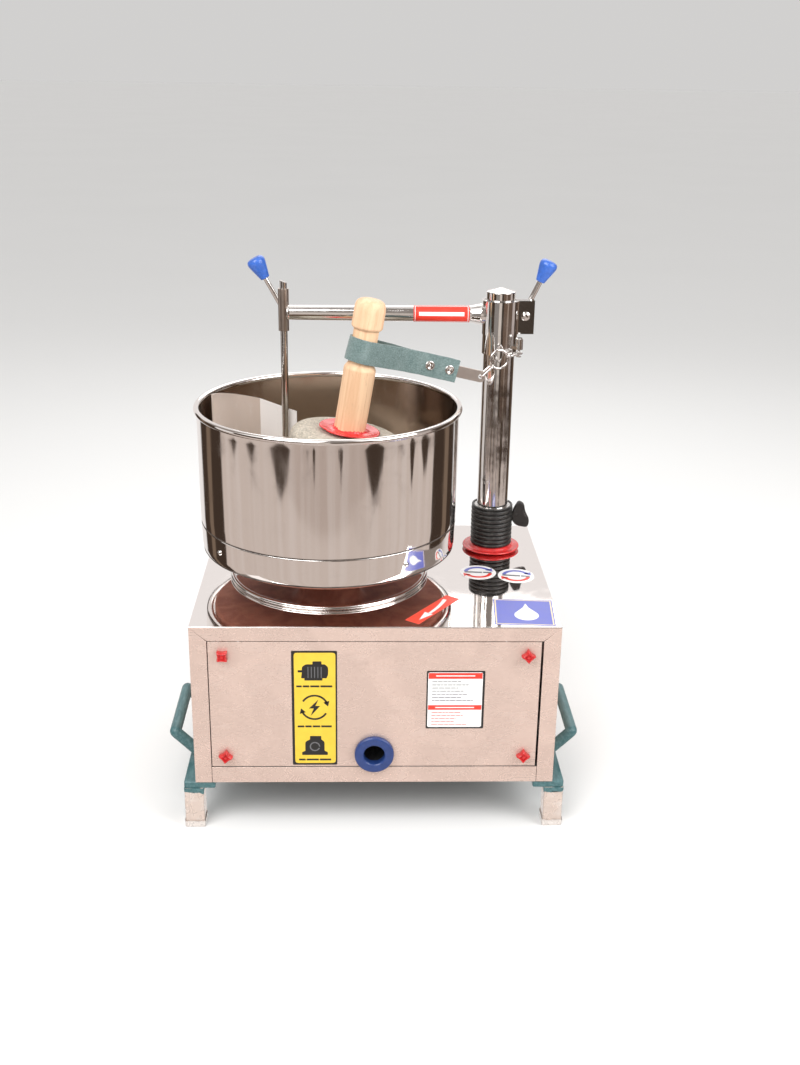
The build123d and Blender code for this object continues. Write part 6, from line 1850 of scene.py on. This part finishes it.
@dataclass(frozen=True)
class Drive:
    """Parts inside the cabinet, which stay as packed."""

    def build(self) -> None:
        """Gives each part its finish."""
        for node in ("worm_shaft", "bearings", "motor_rotor", "gearbox_pulley", "motor_pulley"):
            dress(node, Stock.STEEL)
        dress("gearbox_housing", Stock.CAST)
        dress("gearbox_lid", Stock.CAST)
        dress("motor_housing", Stock.GREY)
        dress("motor_capacitor", Stock.BLACK)
        dress("drive_belt", Stock.RUBBER)


# ---------------------------------------------------------------- studio


@dataclass(frozen=True)
class Studio:
    """Pale floor, soft lights, the room that the bright steel shows, and the camera."""

    camera_at: tuple[float, float, float] = (-20.08, -1550.07, 923.33)
    yaw: float = 1.96
    pitch: float = 20.77
    roll: float = 0.89
    lens: float = 42.61

    def build(self) -> None:
        """Makes the whole studio."""
        self.floor()
        self.room()
        self.light("key", (-900, -1300, 1900), (0, 0, 350), 1500, 38.0)
        self.light("fill", (1500, -900, 1300), (0, 0, 350), 1300, 22.0)
        self.light("back", (200, 1500, 1700), (0, 0, 350), 1400, 9.0)
        self.camera()

    def floor(self) -> None:
        """Wide pale floor, which bright steel doesn't show."""
        mesh = bpy.data.meshes.new("floor")
        half = 40.0
        mesh.from_pydata([(-half, -half, 0), (half, -half, 0), (half, half, 0), (-half, half, 0)], [], [(0, 1, 2, 3)])
        floor = bpy.data.objects.new("floor", mesh)
        floor.location.z = -0.0003
        bench = Bench("floor_paper")
        bench.set(Base_Color=bench.mix(bench.noise(900, 3), (0.83, 0.825, 0.815), (0.86, 0.855, 0.845)), Roughness=0.9)
        mesh.materials.append(bench.material)
        bpy.context.scene.collection.objects.link(floor)
        floor.visible_glossy = False
        floor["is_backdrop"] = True

    def light(self, name: str, at: Sequence[float], aim: Sequence[float], size: float, power: float) -> None:
        """Soft square lamp that looks at a point."""
        data = bpy.data.lights.new(name, "AREA")
        data.shape = "SQUARE"
        data.size = size * MM
        data.energy = power
        lamp = bpy.data.objects.new(name, data)
        lamp.location = Vector(at) * MM
        lamp.rotation_mode = "QUATERNION"
        lamp.rotation_quaternion = (Vector(aim) - Vector(at)).to_track_quat("-Z", "Y")
        bpy.context.scene.collection.objects.link(lamp)

    def camera(self) -> None:
        """Camera in front, a little above."""
        yaw, pitch, roll = (math.radians(a) for a in (self.yaw, self.pitch, self.roll))
        ahead = Vector((math.sin(yaw) * math.cos(pitch), math.cos(yaw) * math.cos(pitch), -math.sin(pitch)))
        right = Vector((math.cos(yaw), -math.sin(yaw), 0))
        up = right.cross(ahead)
        side = right * math.cos(roll) + up * math.sin(roll)
        top = up * math.cos(roll) - right * math.sin(roll)
        data = bpy.data.cameras.new("camera")
        data.lens = self.lens
        data.sensor_width = 36.0
        data.clip_start, data.clip_end = 0.05, 200.0
        camera = bpy.data.objects.new("camera", data)
        camera.matrix_world = Matrix.Translation(Vector(self.camera_at) * MM) @ Matrix(
            (side, top, -ahead)).transposed().to_4x4()
        bpy.context.scene.collection.objects.link(camera)
        bpy.context.scene.camera = camera

    def room(self) -> None:
        """World: even pale light, and for reflections a warm table, a dark room and a pale backdrop."""
        world = bpy.data.worlds.new("room")
        world.use_nodes = True
        bpy.context.scene.world = world
        RoomNodes(world.node_tree).build()


class RoomNodes(Bench):
    """The world's nodes: what a reflection sees, by direction."""

    TABLE = (0.62, 0.52, 0.465)
    TABLE_DEEP = (0.50, 0.405, 0.355)
    DARK = (0.055, 0.036, 0.026)
    PALE = (0.88, 0.84, 0.82)

    def __init__(self, tree: bpy.types.NodeTree) -> None:
        """Uses the world's own tree."""
        self.nodes, self.links = tree.nodes, tree.links
        self.nodes.clear()
        self.place = self.add("ShaderNodeTexCoord").outputs["Generated"]

    def build(self) -> None:
        """Joins the table, the room, the backdrop and the soft boxes."""
        x, y, z = self.split()
        degrees = 180 / math.pi
        azimuth = self.calc("MULTIPLY", self.calc("ARCTAN2", x, self.calc("MULTIPLY", y, -1.0)), degrees)
        rise = self.calc("MULTIPLY", self.calc("ARCSINE", z), degrees)
        away = self.calc("ABSOLUTE", azimuth)
        edge = self.table_edge(azimuth)
        bowl = self.calc("MULTIPLY_ADD", self.calc("POWER", self.calc("DIVIDE", azimuth, 40.0), 2.0), 2.8, -21.6)
        deep = self.step(self.calc("SUBTRACT", rise, bowl), 0.35)
        deep = self.calc("MULTIPLY", deep, self.step(self.calc("SUBTRACT", 46.0, away), 4.0))
        table = self.mix(deep, self.TABLE, self.TABLE_DEEP)
        streaks = self.wavy(azimuth, 9.0)
        table = self.mix(self.calc("MULTIPLY", streaks, 0.35), table, (0.74, 0.66, 0.62))
        far = self.mix(self.step(self.calc("SUBTRACT", rise, -14.2), 0.9), self.DARK, self.far_room(azimuth))
        front = self.mix(self.step(self.calc("SUBTRACT", rise, edge), 0.25), table, far)
        slot = self.calc("ABSOLUTE", self.calc("SUBTRACT", away, 127.0))
        side = self.mix(self.step(self.calc("SUBTRACT", 4.0, slot), 1.5), self.DARK, (0.20, 0.14, 0.10))
        ring = self.mix(self.step(self.calc("SUBTRACT", away, 105.0), 1.2), front, side)
        ring = self.mix(self.step(self.calc("SUBTRACT", away, 145.0), 2.5), ring, self.PALE)
        sky = self.ceiling(azimuth, rise)
        ring = self.mix(self.step(self.calc("SUBTRACT", rise, 14.0), 6.0), ring, sky)
        shown = self.add("ShaderNodeBackground", None, Color=ring, Strength=1.0)
        plain_shade = self.mix(self.step(self.calc("SUBTRACT", rise, 5.0), 2.0), (0.80, 0.79, 0.78), (0.93, 0.925, 0.92))
        plain = self.add("ShaderNodeBackground", None, Color=plain_shade, Strength=0.80)
        path = self.add("ShaderNodeLightPath")
        both = self.add("ShaderNodeMixShader")
        self.plug(both.inputs[0], path.outputs["Is Glossy Ray"])
        self.links.new(plain.outputs[0], both.inputs[1])
        self.links.new(shown.outputs[0], both.inputs[2])
        out = self.add("ShaderNodeOutputWorld")
        self.links.new(both.outputs[0], out.inputs[0])

    def far_room(self, azimuth: bpy.types.NodeSocket) -> bpy.types.NodeSocket:
        """Upright bands of the room over the table, from left to right."""
        shade = self.PALE
        for start, tone in ((-82.0, self.DARK), (-42.0, (0.30, 0.27, 0.25)), (-14.0, (0.72, 0.64, 0.58)),
                            (3.0, (0.06, 0.045, 0.035)), (16.0, (0.17, 0.11, 0.08)), (38.0, (0.42, 0.32, 0.26)), (45.0, (0.15, 0.10, 0.075)),
                            (74.0, (0.55, 0.47, 0.44)), (95.0, self.DARK)):
            shade = self.mix(self.step(self.calc("SUBTRACT", azimuth, start), 1.2), shade, tone)
        return shade

    def step(self, value: bpy.types.NodeSocket, soft: float) -> bpy.types.NodeSocket:
        """0 below nought and 1 above, eased over soft on each side."""
        return self.level(value, -soft, soft)

    def table_edge(self, azimuth: bpy.types.NodeSocket) -> bpy.types.NodeSocket:
        """Elevation of the table's far edge, with dark points that reach down."""
        edge = -16.7
        reach = None
        for centre, half, depth in ((-88, 9, 1.0), (-68, 10, 1.5), (-40, 15, 3.0), (-17, 4, 1.5), (-11, 3, 2.6), (-4, 2, 1.2),
                                    (3, 2, 0.9), (12, 3, 2.4), (22, 4, 0.8), (41, 15, 3.2), (66, 7, 1.0), (79, 7, 2.4),
                                    (93, 8, 1.8)):
            off = self.calc("ABSOLUTE", self.calc("SUBTRACT", azimuth, float(centre)))
            spike = self.calc("MULTIPLY", self.level(off, 0.0, float(half), 1.0, 0.0), depth)
            reach = spike if reach is None else self.calc("MAXIMUM", reach, spike)
        return self.calc("SUBTRACT", edge, reach)

    def wavy(self, azimuth: bpy.types.NodeSocket, size: float) -> bpy.types.NodeSocket:
        """Soft upright streaks."""
        node = self.add("ShaderNodeTexNoise", {"noise_dimensions": "1D"}, W=azimuth, Scale=1 / size, Detail=2.0)
        return self.level(node.outputs["Fac"], 0.4, 0.65)

    def ceiling(self, azimuth: bpy.types.NodeSocket, rise: bpy.types.NodeSocket) -> bpy.types.NodeSocket:
        """Dim ceiling with two broad soft boxes at the front, one each side, and a pale back."""
        shade = (0.30, 0.26, 0.235)
        for centre, half in ((-52.0, 34.0), (58.0, 30.0)):
            off = self.calc("ABSOLUTE", self.calc("SUBTRACT", azimuth, centre))
            inside = self.calc("MULTIPLY", self.step(self.calc("SUBTRACT", half, off), 4.0),
                               self.step(self.calc("SUBTRACT", rise, 24.0), 3.0))
            shade = self.mix(inside, shade, (1.25, 1.22, 1.20))
        back = self.step(self.calc("SUBTRACT", self.calc("ABSOLUTE", azimuth), 128.0), 8.0)
        return self.mix(back, shade, self.PALE)


# ---------------------------------------------------------------- the whole


def corners() -> list[list[float]]:
    """The shown object's box as plain lists."""
    return [list(corner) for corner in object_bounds()]


def main() -> None:
    """Builds the studio and every sub-assembly."""
    logging.basicConfig(level=logging.INFO, format="%(name)s: %(message)s")
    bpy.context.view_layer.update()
    bpy.context.scene.view_settings.view_transform = "Standard"
    roller, post = Roller(), Post()
    Studio().build()
    for part in (Base(), Cabinet(), Drum(), post, Arm(), roller, Stickers(), Drive()):
        part.build()
        log.info("%s is done", type(part).__name__)
    Tether().build(roller, post)


if __name__ == "__main__":
    main()
